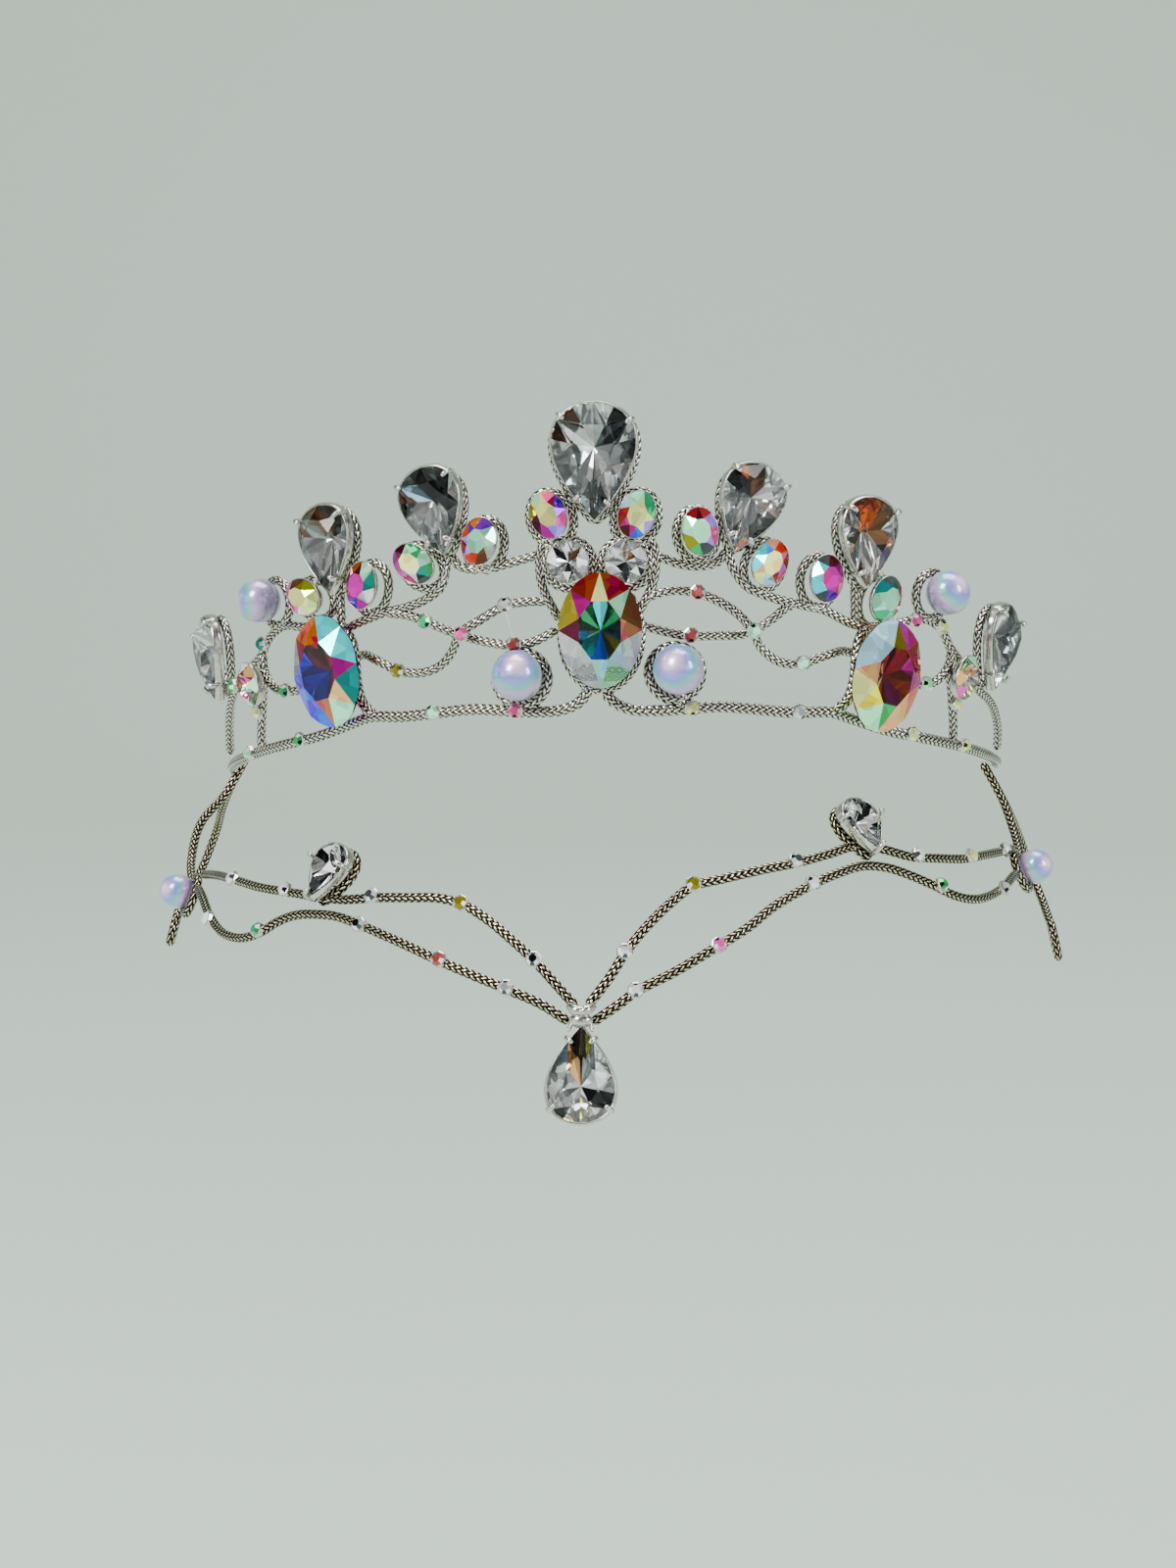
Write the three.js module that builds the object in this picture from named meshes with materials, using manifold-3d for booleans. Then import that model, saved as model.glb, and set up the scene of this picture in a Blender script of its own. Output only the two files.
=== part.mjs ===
// Ballet tiara with a forehead frontlet: braided metallic cord over wire, bent into a lattice
// that stands on the head, set with foil-backed glass stones and pearls. A V-shaped frontlet
// of the same cord lies on the brow, carries a forehead drop and joins the tiara at the temples.
//
// Frame: millimetres, +X the viewer's right, -Y the front, +Z up. The origin is the middle of
// the head at the level of the frontlet's V.

import * as THREE from 'three';
import { mergeVertices } from 'three/addons/utils/BufferGeometryUtils.js';
import Module from 'manifold-3d';

const wasm = await Module();
wasm.setup();

// ---------------------------------------------------------------- driving sizes, mm and degrees

const CORD_RADIUS = 0.78;
const RIM_CORD_RADIUS = 0.95;
const CORD_SIDES = 5;
const CORD_STEP = 5.4;
const LOOP_SIDES = 5;
const LOOP_STEPS = 10;
const CRUMB = 0.6;
const TOUCH_GAP = 0.3;

const PEARL_RADIUS = 4;
const CREST_PEARL_RADIUS = 3.6;
const TEMPLE_PEARL_RADIUS = 2.9;

// The seat is an ellipse on the head, higher in front; the lattice flares outwards from it.
const SEAT = { halfWidth: 66, halfDepth: 60, level: 21.6, tilt: 17, flare: 10, roll: 1.1 };

// The head that it is worn on, from which the frontlet takes its lie.
const HEAD = { halfWidth: 79, halfDepth: 104, middle: -43, halfHeight: 92, power: 2.35 };

// Cuts of stone: outline, size, how far crown and pavilion stand from the girdle.
const CUTS = {
  largeOval: { outline: 'oval', width: 13, length: 18, crown: 2.3, pavilion: 3.2, sides: 14 },
  largePear: { outline: 'pear', width: 13, length: 18, crown: 2.3, pavilion: 3.2, sides: 14 },
  pear: { outline: 'pear', width: 10, length: 14, crown: 1.9, pavilion: 2.7, sides: 12 },
  browPear: { outline: 'pear', width: 7, length: 9, crown: 1.5, pavilion: 2.1, sides: 12 },
  accent: { outline: 'oval', width: 5.6, length: 7.4, crown: 1.4, pavilion: 1.9, sides: 12 },
  round: { outline: 'oval', width: 6.4, length: 6.4, crown: 1.2, pavilion: 2.0, sides: 12 },
  pearl: { outline: 'oval', width: 7.8, length: 7.8, sides: 12 },
  crestPearl: { outline: 'oval', width: 7, length: 7, sides: 12 },
  templePearl: { outline: 'oval', width: 5.8, length: 5.8, sides: 12 },
  hairpin: { outline: 'oval', width: 3.6, length: 6.4, sides: 12 },
};
const TABLE_SCALE = 0.56;
const CULET_SCALE = 0.12;
const GIRDLE_HALF = 0.25;

// ---------------------------------------------------------------- materials

const material = (color, metalness, roughness) =>
  new THREE.MeshStandardMaterial({ color, metalness, roughness });
const MATERIALS = {
  cord: material(0xb7b09a, 0.85, 0.38),
  setting: material(0xc9c8c4, 1.0, 0.22),
  clear: material(0xdfe4e4, 0.1, 0.05),
  aurora: material(0x9c5fb4, 0.3, 0.08),
  pearl: material(0xe4e4ee, 0.0, 0.2),
};

// ---------------------------------------------------------------- surfaces that carry the work

const { degToRad } = THREE.MathUtils;

/** Point of the tiara's wall at an azimuth from the front, a height above the rim and a lift. */
function wallPoint(azimuth, height, lift = 0) {
  const outward = height * Math.tan(degToRad(SEAT.flare)) + lift;
  const x = (SEAT.halfWidth + outward) * Math.sin(degToRad(azimuth));
  const y = -(SEAT.halfDepth + outward) * Math.cos(degToRad(azimuth));
  const rise = height + x * Math.tan(degToRad(SEAT.roll));
  const tilt = degToRad(SEAT.tilt);
  return new THREE.Vector3(
    x,
    y * Math.cos(tilt) + rise * Math.sin(tilt),
    SEAT.level - y * Math.sin(tilt) + rise * Math.cos(tilt),
  );
}

/** Point over the head at an azimuth, at a level z, lifted off the skin along its normal. */
function browPoint(azimuth, z, lift = 0) {
  const { halfWidth, halfDepth, middle, halfHeight, power } = HEAD;
  const level = Math.abs(z - middle) / halfHeight;
  const shrink = (1 - level ** power) ** (1 / power);
  const x = halfWidth * shrink * Math.sin(degToRad(azimuth));
  const y = -halfDepth * shrink * Math.cos(degToRad(azimuth));
  const side = shrink ** (power - 2);
  const normal = new THREE.Vector3(
    (side * x) / halfWidth ** 2,
    (side * y) / halfDepth ** 2,
    (Math.sign(z - middle) * level ** (power - 1)) / halfHeight,
  ).normalize();
  return new THREE.Vector3(x, y, z).addScaledVector(normal, lift);
}

/** Matrix that sets a stone's x across, y up and z outwards at a place on a surface. */
function seatMatrix(surface, place) {
  const { azimuth, height, lift = 0, lean = 0, turn = 0 } = place;
  const origin = surface(azimuth, height, lift);
  const across = surface(azimuth + 0.1, height, lift).sub(origin).normalize();
  const rise = surface(azimuth, height + 0.1, lift).sub(origin);
  const out = across.clone().cross(rise).normalize();
  const up = out.clone().cross(across);
  const matrix = new THREE.Matrix4().makeBasis(across, up, out);
  matrix.multiply(new THREE.Matrix4().makeRotationY(degToRad(turn)));
  matrix.multiply(new THREE.Matrix4().makeRotationZ(degToRad(-lean)));
  return matrix.setPosition(origin);
}

// ---------------------------------------------------------------- solids

/** A closed three.js geometry as a manifold solid, in place. */
function toSolid(geometry, matrix = new THREE.Matrix4()) {
  const plain = geometry.clone();
  plain.deleteAttribute('normal');
  plain.deleteAttribute('uv');
  const merged = mergeVertices(plain.applyMatrix4(matrix), 1e-4);
  const vertProperties = new Float32Array(merged.attributes.position.array);
  const triVerts = new Uint32Array(merged.index.array);
  return new wasm.Manifold(new wasm.Mesh({ numProp: 3, vertProperties, triVerts }));
}

/** A manifold solid as a three.js geometry. */
function toGeometry(solid) {
  const { vertProperties, triVerts } = solid.getMesh();
  const geometry = new THREE.BufferGeometry();
  geometry.setAttribute('position', new THREE.BufferAttribute(vertProperties, 3));
  geometry.setIndex(new THREE.BufferAttribute(triVerts, 1));
  geometry.computeVertexNormals();
  return geometry;
}

/** Point of a stone's outline: a pear narrows to its tip at -y, an oval is an ellipse. */
function outlinePoint(cut, index, scale, grow) {
  const t = (2 * Math.PI * index) / cut.sides;
  const halfWidth = cut.width / 2 + grow;
  const halfLength = cut.length / 2 + grow;
  if (cut.outline === 'oval') {
    return [-halfWidth * scale * Math.sin(t), halfLength * scale * Math.cos(t)];
  }
  const fullness = 1.299;
  const x = -fullness * halfWidth * Math.sin(t) * Math.cos(t / 2);
  const heart = 0.12 * cut.length;
  const y = heart + (halfLength * Math.cos(t) - heart) * scale;
  return [(t > Math.PI ? -x : x) * scale, y];
}

/** Carries rows of [scale, grow, z] round an outline; a ring closes on itself, a shell is capped. */
function carryRound(cut, rows, isRing) {
  const { sides } = cut;
  const positions = [];
  for (const [scale, grow, z] of rows) {
    for (let i = 0; i < sides; i += 1) {
      positions.push(...outlinePoint(cut, i, scale, grow), z);
    }
  }
  const index = [];
  const bands = isRing ? rows.length : rows.length - 1;
  for (let row = 0; row < bands; row += 1) {
    const upper = row * sides;
    const lower = ((row + 1) % rows.length) * sides;
    for (let i = 0; i < sides; i += 1) {
      const next = (i + 1) % sides;
      index.push(upper + i, lower + i, lower + next, upper + i, lower + next, upper + next);
    }
  }
  if (!isRing) {
    const last = (rows.length - 1) * sides;
    for (let i = 1; i < sides - 1; i += 1) {
      index.push(0, i, i + 1, last, last + i + 1, last + i);
    }
  }
  const geometry = new THREE.BufferGeometry();
  geometry.setAttribute('position', new THREE.Float32BufferAttribute(positions, 3));
  geometry.setIndex(index);
  return geometry;
}

/** A cut stone: table, crown, girdle and pavilion. It grows all round when a clearance is asked. */
function stoneGeometry(cut, grow = 0) {
  return carryRound(cut, [
    [TABLE_SCALE, grow, cut.crown + grow],
    [1, grow, GIRDLE_HALF],
    [1, grow, -GIRDLE_HALF],
    [CULET_SCALE, grow, -cut.pavilion - grow],
  ], false);
}

const CUP_WALL = 0.25;

/** A small stone fused to the thin cup that it is glued in. */
function cuppedStoneGeometry(cut, grow = 0) {
  return carryRound(cut, [
    [TABLE_SCALE, grow, cut.crown + grow],
    [1, grow + CUP_WALL, 0.3],
    [1, grow + CUP_WALL, -0.5],
    [0.55, grow, -cut.pavilion - grow],
  ], false);
}

const CUP_TOP = 0.3;
const CUP_FOOT = -1.6;
const CLAW_WIDTH = 0.9;

/** The open band of a setting, clear of its stone all round and narrower at its foot. */
function cupGeometry(cut, grow = 0) {
  return carryRound(cut, [
    [1, 0.42 - grow, CUP_TOP + grow],
    [1, 0.92 + grow, CUP_TOP + grow],
    [1, 0.65 + grow, CUP_FOOT - grow],
    [1, 0.15 - grow, CUP_FOOT - grow],
  ], true);
}

/** A claw: a narrow hook that stands on one side of the cup's rim and bends over the girdle. */
function clawGeometry(cut, index) {
  const [fromX, fromY] = outlinePoint(cut, index, 1, 0);
  const [toX, toY] = outlinePoint(cut, index + 1, 1, 0);
  const along = new THREE.Vector3(toX - fromX, toY - fromY, 0).normalize();
  const up = new THREE.Vector3(0, 0, 1);
  const out = along.clone().cross(up);
  const hook = new THREE.Shape();
  hook.moveTo(0.5, 0);
  hook.lineTo(0.8, 0);
  hook.lineTo(0.8, 1.1);
  hook.lineTo(-0.45, 1.65);
  const geometry = new THREE.ExtrudeGeometry(hook, { depth: CLAW_WIDTH, bevelEnabled: false });
  geometry.translate(0, 0, -CLAW_WIDTH / 2);
  const basis = new THREE.Matrix4().makeBasis(out, up, along.negate());
  return geometry.applyMatrix4(basis.setPosition((fromX + toX) / 2, (fromY + toY) / 2, 0));
}

/** Cup and claws in one body. */
function settingGeometry(cut, claws) {
  let solid = toSolid(cupGeometry(cut));
  for (const index of claws) {
    solid = solid.add(toSolid(clawGeometry(cut, index)));
  }
  return toGeometry(solid);
}

/** A closed loop of cord that follows a stone's outline in the stone's own plane. */
function loopGeometry(cut, grow, radius) {
  const rows = [];
  for (let i = 0; i < LOOP_SIDES; i += 1) {
    const t = (2 * Math.PI * i) / LOOP_SIDES;
    rows.push([1, grow + radius * Math.cos(t), -radius * Math.sin(t)]);
  }
  return carryRound({ ...cut, sides: LOOP_STEPS }, rows, true);
}

/** A length of cord through the points of a route. */
function cordGeometry(points, radius) {
  const path = new THREE.CatmullRomCurve3(points, false, 'centripetal');
  const section = new THREE.Shape();
  for (let i = 0; i < CORD_SIDES; i += 1) {
    const t = (2 * Math.PI * i) / CORD_SIDES;
    const method = i === 0 ? 'moveTo' : 'lineTo';
    section[method](radius * Math.cos(t), radius * Math.sin(t));
  }
  const steps = Math.max(3, Math.round(path.getLength() / CORD_STEP));
  return new THREE.ExtrudeGeometry(section, { steps, extrudePath: path, curveSegments: 1 });
}

// ---------------------------------------------------------------- the pieces, by table

const group = new THREE.Group();
group.name = 'ballet_tiara';

/** Solids that later cords are cut clear of: everything that is already in place. */
const cleared = [];

function addMesh(name, geometry, finish, matrix = new THREE.Matrix4()) {
  const mesh = new THREE.Mesh(geometry, finish);
  mesh.name = name;
  mesh.applyMatrix4(matrix);
  group.add(mesh);
}

/** Sets one stone, with its setting where it has one, and keeps the room that they take. */
function setStone({ name, cut, finish, surface = wallPoint, claws, fused, ...place }) {
  const shape = CUTS[cut];
  const matrix = seatMatrix(surface, place);
  const make = fused ? cuppedStoneGeometry : stoneGeometry;
  addMesh(name, make(shape), MATERIALS[finish], matrix);
  cleared.push(toSolid(make(shape, TOUCH_GAP), matrix));
  if (claws) {
    addMesh(`${name}_setting`, settingGeometry(shape, claws), MATERIALS.setting, matrix);
    cleared.push(toSolid(cupGeometry(shape, TOUCH_GAP), matrix));
  }
}

function setPearl({ name, radius = PEARL_RADIUS, surface = wallPoint, ...place }) {
  const matrix = seatMatrix(surface, place);
  addMesh(name, new THREE.SphereGeometry(radius, 12, 7), MATERIALS.pearl, matrix);
  cleared.push(toSolid(new THREE.SphereGeometry(radius + TOUCH_GAP, 12, 7), matrix));
}

// Lifts of the stones' girdles off the cords' middle line.
const LIFT = {
  largeOval: 4.05, largePear: 2.75, pear: 2.75, accent: 3.05, round: 2.15, pearl: 3.45,
};
const CLAWS = [1, 4, 7, 10];
const LARGE_CLAWS = [1, 5, 8, 12];
const BROW_CLAWS = [2, 5, 9];

const STONES = [
  { name: 'centre_oval', cut: 'largeOval', finish: 'aurora', azimuth: 0.6, height: 11.7 },
  { name: 'side_oval_left', cut: 'largeOval', finish: 'aurora', azimuth: -37.6, height: 8,
    lean: -6, turn: 3 },
  { name: 'side_oval_right', cut: 'largeOval', finish: 'aurora', azimuth: 39.7, height: 6.5,
    lean: 6, turn: -3 },
  { name: 'centre_teardrop', cut: 'largePear', finish: 'clear', azimuth: -0.4, height: 37.7,
    claws: LARGE_CLAWS },
  { name: 'inner_teardrop_left', cut: 'pear', finish: 'clear', azimuth: -20.5, height: 31.3,
    lean: -12, claws: CLAWS },
  { name: 'inner_teardrop_right', cut: 'pear', finish: 'clear', azimuth: 18.6, height: 31,
    lean: 18, claws: CLAWS },
  { name: 'outer_teardrop_left', cut: 'pear', finish: 'clear', azimuth: -36.8, height: 27.4,
    lean: -2, claws: CLAWS },
  { name: 'outer_teardrop_right', cut: 'pear', finish: 'clear', azimuth: 35.3, height: 27.2,
    lean: -1, claws: CLAWS },
  { name: 'end_teardrop_left', cut: 'pear', finish: 'clear', azimuth: -71, height: 15.3,
    lean: -4, claws: CLAWS },
  { name: 'end_teardrop_right', cut: 'pear', finish: 'clear', azimuth: 66, height: 14.8,
    lean: 4, claws: CLAWS },
  { name: 'round_crystal_left', cut: 'round', finish: 'clear', azimuth: -3.6, height: 22.6,
    fused: true },
  { name: 'round_crystal_right', cut: 'round', finish: 'clear', azimuth: 3.6, height: 22.5,
    fused: true },
];

// Small aurora stones; azimuth and height differ a little from side to side, as hand work does.
const ACCENTS = [
  { name: 'centre_accent_left', azimuth: -5.8, height: 29.6, lean: -18 },
  { name: 'centre_accent_right', azimuth: 4.8, height: 29.5, lean: 18 },
  { name: 'inner_accent_front_left', azimuth: -14.5, height: 26.1, lean: 12 },
  { name: 'inner_accent_front_right', azimuth: 12.5, height: 27.1, lean: -8 },
  { name: 'inner_accent_back_left', azimuth: -23.4, height: 23.4, lean: -52 },
  { name: 'inner_accent_back_right', azimuth: 21.6, height: 22.7, lean: 20 },
  { name: 'outer_accent_front_left', azimuth: -31.3, height: 20.9, lean: 14 },
  { name: 'outer_accent_front_right', azimuth: 29.5, height: 20.9, lean: 0 },
  { name: 'outer_accent_back_left', azimuth: -41.3, height: 20.4, lean: -66 },
  { name: 'outer_accent_back_right', azimuth: 38.8, height: 18.6, lean: 14 },
  { name: 'end_accent_left', azimuth: -55.8, height: 8.4, lean: -20 },
  { name: 'end_accent_right', azimuth: 56.6, height: 8.4, lean: 20 },
];

const PEARLS = [
  { name: 'rim_pearl_left', azimuth: -10.1, height: 5.2 },
  { name: 'rim_pearl_right', azimuth: 10.5, height: 5.9 },
  { name: 'crest_pearl_left', azimuth: -50, height: 21.1,
    radius: CREST_PEARL_RADIUS },
  { name: 'crest_pearl_right', azimuth: 49.2, height: 20.9,
    radius: CREST_PEARL_RADIUS },
];

// Stones of the frontlet; here height is the level z of the place on the brow.
const BROW_STONES = [
  { name: 'forehead_drop', cut: 'pear', finish: 'clear', azimuth: 0.1, height: -8.4, lift: 2.7,
    lean: 180, claws: CLAWS },
  { name: 'brow_stone_left', cut: 'browPear', finish: 'clear', azimuth: -35.8, height: 14.6,
    lift: 3.5, lean: 4, claws: BROW_CLAWS },
  { name: 'brow_stone_right', cut: 'browPear', finish: 'clear', azimuth: 39.8, height: 20.9,
    lift: 3.5, lean: 4, claws: BROW_CLAWS },
];

// The bound knot of wire over the drop, where the frontlet's four cords meet.
const BINDING_RADIUS = 1.7;
const BINDING_STRETCH = 1.3;
const BINDING = { azimuth: 0, height: 0.78, lift: 2.1 };

const BROW_PEARLS = [
  { name: 'temple_pearl_left', azimuth: -71.2, height: 3, lift: 3.3 },
  { name: 'temple_pearl_right', azimuth: 76, height: 7, lift: 3.3 },
];

for (const stone of STONES) {
  setStone({ lift: LIFT[stone.cut], ...stone });
}
for (const accent of ACCENTS) {
  setStone({ cut: 'accent', finish: 'aurora', fused: true, lift: LIFT.accent, ...accent });
}
for (const pearl of PEARLS) {
  setPearl({ lift: LIFT.pearl, ...pearl });
}
for (const stone of BROW_STONES) {
  setStone({ surface: browPoint, ...stone });
}
const bindingGeometry = (grow) =>
  new THREE.SphereGeometry(BINDING_RADIUS + grow, 10, 6).scale(1, BINDING_STRETCH, 1);
addMesh('forehead_binding', bindingGeometry(0), MATERIALS.setting, seatMatrix(browPoint, BINDING));
cleared.push(toSolid(bindingGeometry(TOUCH_GAP), seatMatrix(browPoint, BINDING)));
for (const pearl of BROW_PEARLS) {
  setPearl({ surface: browPoint, radius: TEMPLE_PEARL_RADIUS, ...pearl });
}

/** One side of a route that both sides share: side is -1 on the left and 1 on the right. */
const onSide = (side, rows) => rows.map(([azimuth, ...rest]) => [side * azimuth, ...rest]);

/**
 * Makes one cord node: strands along routes and loops behind stones, joined into one body and
 * cut clear of what is already in place.
 */
function addCord({ name, surface = wallPoint, radius = CORD_RADIUS, strands = [], loops = [] }) {
  const shape = (grown) => {
    const solids = strands.map((rows) =>
      toSolid(cordGeometry(rows.map((row) => surface(...row)), radius + grown)));
    for (const { cut, grow = -0.2, ...place } of loops) {
      const loop = loopGeometry(CUTS[cut], grow, radius + grown);
      solids.push(toSolid(loop, seatMatrix(surface, place)));
    }
    return solids.reduce((sum, solid) => sum.add(solid));
  };
  let body = shape(0);
  for (const other of cleared) {
    body = body.subtract(other);
  }
  // A cut can leave crumbs of no use; the cord is what is left of any size.
  const kept = body.decompose().filter((part) => part.volume() > CRUMB);
  addMesh(name, toGeometry(kept.reduce((sum, part) => sum.add(part))), MATERIALS.cord);
  cleared.push(shape(TOUCH_GAP));
}

const placeOf = (list, name) => list.find((row) => row.name === name);
const loopOf = (list, name, cut, grow) => ({ lift: 0, ...placeOf(list, name), cut, grow });

// The frame of the middle: loops behind its six stones and a strand down each side.
addCord({
  name: 'centre_frame_cord',
  strands: [-1, 1].map((side) =>
    onSide(side, [[6.4, 27], [7.3, 24.4], [7.4, 21.4], [6.9, 18.6], [5.9, 16.2], [4.9, 14]])),
  loops: [
    loopOf(STONES, 'centre_teardrop', 'largePear', 0.1),
    loopOf(STONES, 'centre_oval', 'largeOval', -0.3),
    loopOf(STONES, 'round_crystal_left', 'round', 0.6),
    loopOf(STONES, 'round_crystal_right', 'round', 0.6),
    loopOf(ACCENTS, 'centre_accent_left', 'accent', 0.6),
    loopOf(ACCENTS, 'centre_accent_right', 'accent', 0.6),
  ],
});

// The rim: from under the centre oval round to the end, with the strand that hugs the side oval
// and the loop behind the rim pearl. Columns of every route: azimuth, height, lift.
const RIM = [
  [1.25, 4.2], [1.3, 2.8], [2.5, 1.2], [4.8, 0.2], [8, 0], [12, 0.3], [17, 0.8], [22, 0.6],
  [28, 0.4], [33.5, 0.8], [38, 0.1, -0.6], [44, -1.1, -0.3], [52, -1.6], [62, -1.8],
  [72, -1.8], [82, -1.6], [90, -1.2],
];
const OVAL_EDGE = {
  left: [[-32.8, 0.9], [-34.4, 3, 0.4], [-34.9, 6, 0.7], [-34.9, 9.5, 0.7],
    [-35.3, 12.6, 0.4], [-36.6, 15]],
  right: [[34.2, 0.8], [36, 3, 0.4], [36.5, 6, 0.7], [36.4, 9.5, 0.7],
    [36.8, 12.4, 0.4], [38, 14.6]],
};
const PEARL_STEM = [[11.4, 3.4], [12, 0.4]];

// The crest, in two strands that meet at the tip of the inner teardrop.
const CREST = {
  left: [
    [[-7.4, 24.2], [-11.5, 23], [-14.6, 22.3], [-18, 23], [-19.6, 25.4]],
    [[-19.6, 25.4], [-20.1, 22.6], [-20.9, 20], [-23, 18.4], [-26, 17.4], [-29.5, 16.9],
      [-33.2, 16], [-37, 15.1], [-41, 15.7], [-45.5, 16.6], [-49, 17.2], [-52.6, 16],
      [-55.6, 13.6], [-59.5, 12], [-64, 10.6], [-68, 9.2], [-71.2, 7.6], [-75, 5],
      [-79, 2], [-80.8, 0.6]],
    [[-36.8, 21.4], [-37, 18.4], [-37.2, 14.8]],
    [[-50.4, 17.6], [-50.2, 16.6]],
  ],
  right: [
    [[7.4, 24], [10.1, 22.7], [12.9, 22.3], [15.4, 23], [16.6, 25]],
    [[16.6, 25], [17.6, 22], [19.6, 19.4], [22, 18.3], [26.6, 17.2], [31, 16.5],
      [34.9, 15], [38.2, 14.6], [41.5, 15.2], [45.5, 16.4], [49, 17], [52.4, 15.8],
      [55, 13.4], [58, 11.6], [61.6, 9.8], [65.4, 7.8], [69.4, 7], [74, 5.6],
      [79, 3], [82, 0.2]],
    [[35.2, 21], [35.6, 18], [36, 14.8]],
    [[49.2, 17.6], [49.2, 16.6]],
  ],
};
const CREST_LOOPS = [
  ['inner_teardrop', STONES, 'pear', -0.2], ['outer_teardrop', STONES, 'pear', -0.2],
  ['end_teardrop', STONES, 'pear', -0.2], ['inner_accent_front', ACCENTS, 'accent', 0.35],
  ['inner_accent_back', ACCENTS, 'accent', 0.35], ['outer_accent_front', ACCENTS, 'accent', 0.35],
  ['outer_accent_back', ACCENTS, 'accent', 0.35],
  ['crest_pearl', PEARLS, 'crestPearl', 0.2],
];

// The two vines cross at a crystal. The upper one runs on behind the side oval, and a short
// strut stands from its far bend to the rim.
const UPPER_VINE = {
  left: [[-6.3, 16.9], [-8.9, 17], [-11.9, 16.6], [-15.6, 14.4, 0.4], [-18.1, 12.4, 1.3],
    [-19.6, 9.9, 0.4], [-21.6, 7.9], [-24.4, 7], [-27.8, 7.5], [-31.6, 9.6],
    [-35.4, 11, -1.8], [-40, 8.8, -1.7], [-44, 7, -0.8], [-48, 6.6], [-51.6, 7],
    [-54.2, 8.6], [-55.6, 11], [-55.4, 13.6]],
  right: [[6.4, 17.4], [9.3, 18.4], [12.9, 18.2], [16.2, 16.8], [18.8, 14.8, 0.4],
    [20.4, 12.4, 1.3], [21.9, 10.2, 0.4], [24.7, 8.2], [28.1, 8], [32, 9.6],
    [36.4, 10.8, -1.8], [40.6, 8.8, -1.7], [44.4, 7, -0.8], [48, 6.6], [51.6, 7],
    [54.2, 8.6], [55.6, 11], [55.2, 13.4]],
};
const STRUT = [[55.3, 10.4], [56.8, 7.4], [58, 4.4], [59.2, 1.2], [60, -1.8]];
const LOWER_VINE = {
  left: [[-5.2, 12.6], [-8, 11], [-10.9, 10.4], [-15, 11.2, -0.5], [-18.1, 12.3, -1.2],
    [-20.2, 13.2, -0.6], [-23.2, 14.8], [-26.4, 16.2], [-29.4, 16.8]],
  right: [[5.6, 13.2], [9, 12.2], [12.3, 11.6], [16, 11.8, -0.5], [19.4, 12.2, -1.2],
    [21.4, 13, -0.8], [23.6, 14.8], [25.4, 16.6], [26.8, 17.2]],
};

for (const [sideName, side] of [['left', -1], ['right', 1]]) {
  addCord({
    name: `crest_cord_${sideName}`,
    strands: CREST[sideName],
    loops: CREST_LOOPS.map(([stem, list, cut, grow]) =>
      loopOf(list, `${stem}_${sideName}`, cut, grow)),
  });
  addCord({
    name: `rim_cord_${sideName}`,
    radius: RIM_CORD_RADIUS,
    strands: [onSide(side, RIM), OVAL_EDGE[sideName], onSide(side, PEARL_STEM)],
    loops: [loopOf(PEARLS, `rim_pearl_${sideName}`, 'pearl', 0.2)],
  });
  addCord({
    name: `upper_vine_${sideName}`,
    strands: [UPPER_VINE[sideName], onSide(side, STRUT)],
  });
  addCord({
    name: `lower_vine_${sideName}`,
    strands: [LOWER_VINE[sideName]],
  });
}

// ---------------------------------------------------------------- the frontlet

// Routes over the brow. Columns: azimuth, level z, lift. The hand-made V is a little skewed.
const ON_SKIN = CORD_RADIUS;
const skin = (rows) => rows.map(([azimuth, z, lift = ON_SKIN]) => [azimuth, z, lift]);

const TEMPLE_LINK = {
  left: [
    [[-86.5, 21.5, 1.6], [-85, 16, 1.2], [-82, 11, 2.6], [-77.6, 6.4, 1.8], [-73.4, 4.2]],
    [[-85.6, 18, 1.3], [-91, 12], [-95.5, 6], [-95, 0], [-90, -3], [-85, -4.6]],
  ],
  right: [
    [[87.5, 21.5, 1.6], [86, 16, 1.2], [83.4, 12], [80, 9.4], [78, 8.2]],
    [[86.6, 18, 1.3], [92, 13], [97, 6], [98, 0], [95, -4.4], [91, -7.2]],
  ],
};
const HAIRPIN_LOOP = {
  left: { azimuth: -83.4, height: -6.4, lean: -40 },
  right: { azimuth: 90.4, height: -9.6, lean: 14 },
};
const FRONTLET_UPPER = {
  left: [[-1, 1.4], [-3.1, 3.8], [-5.7, 6.7], [-8.9, 9.5], [-12.1, 11.8], [-15.5, 13.5],
    [-19, 14.1], [-23.4, 13.7], [-28.5, 13], [-33.2, 12], [-37.4, 11.6], [-42.6, 11.2],
    [-49.6, 10.4], [-56.4, 9.8], [-63, 8.8], [-69, 7.2]],
  right: [[1, 1.6], [3.2, 4.9], [5.1, 8.2], [7.9, 11.7], [11.3, 14.8], [13.8, 16.4],
    [18.2, 17.2], [23.6, 17.9], [28.9, 18.3], [34, 18.8], [38.6, 19.2], [43, 18.2],
    [48, 16.2], [53, 15], [59, 13.6], [65, 12.7], [71.4, 11.6], [76.6, 10.6]],
};
const FRONTLET_LOWER = {
  left: [[-1.7, -1], [-4.9, 1.2], [-8.7, 2.8], [-12.5, 4.2], [-17.3, 5.8], [-23, 7.6],
    [-29, 9], [-33.4, 9.6], [-37.4, 9.2], [-40.6, 8.4], [-43.4, 6.9], [-46, 4.8],
    [-49.4, 3], [-54.4, 2.2], [-60, 3.2], [-65, 4.6], [-69, 5]],
  right: [[1.7, -0.9], [4.2, 1.2], [6.2, 2.9], [10.7, 5.3], [16.2, 8.4], [20.4, 10.6],
    [24.1, 12.9], [29.9, 15.1], [34.4, 16.1], [38.8, 16.5], [42.6, 15.7], [46.2, 14],
    [50.2, 11.6], [53.6, 9.4], [57.6, 7.9], [62, 7.3], [67, 7.3], [71.5, 7.6]],
};

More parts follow.
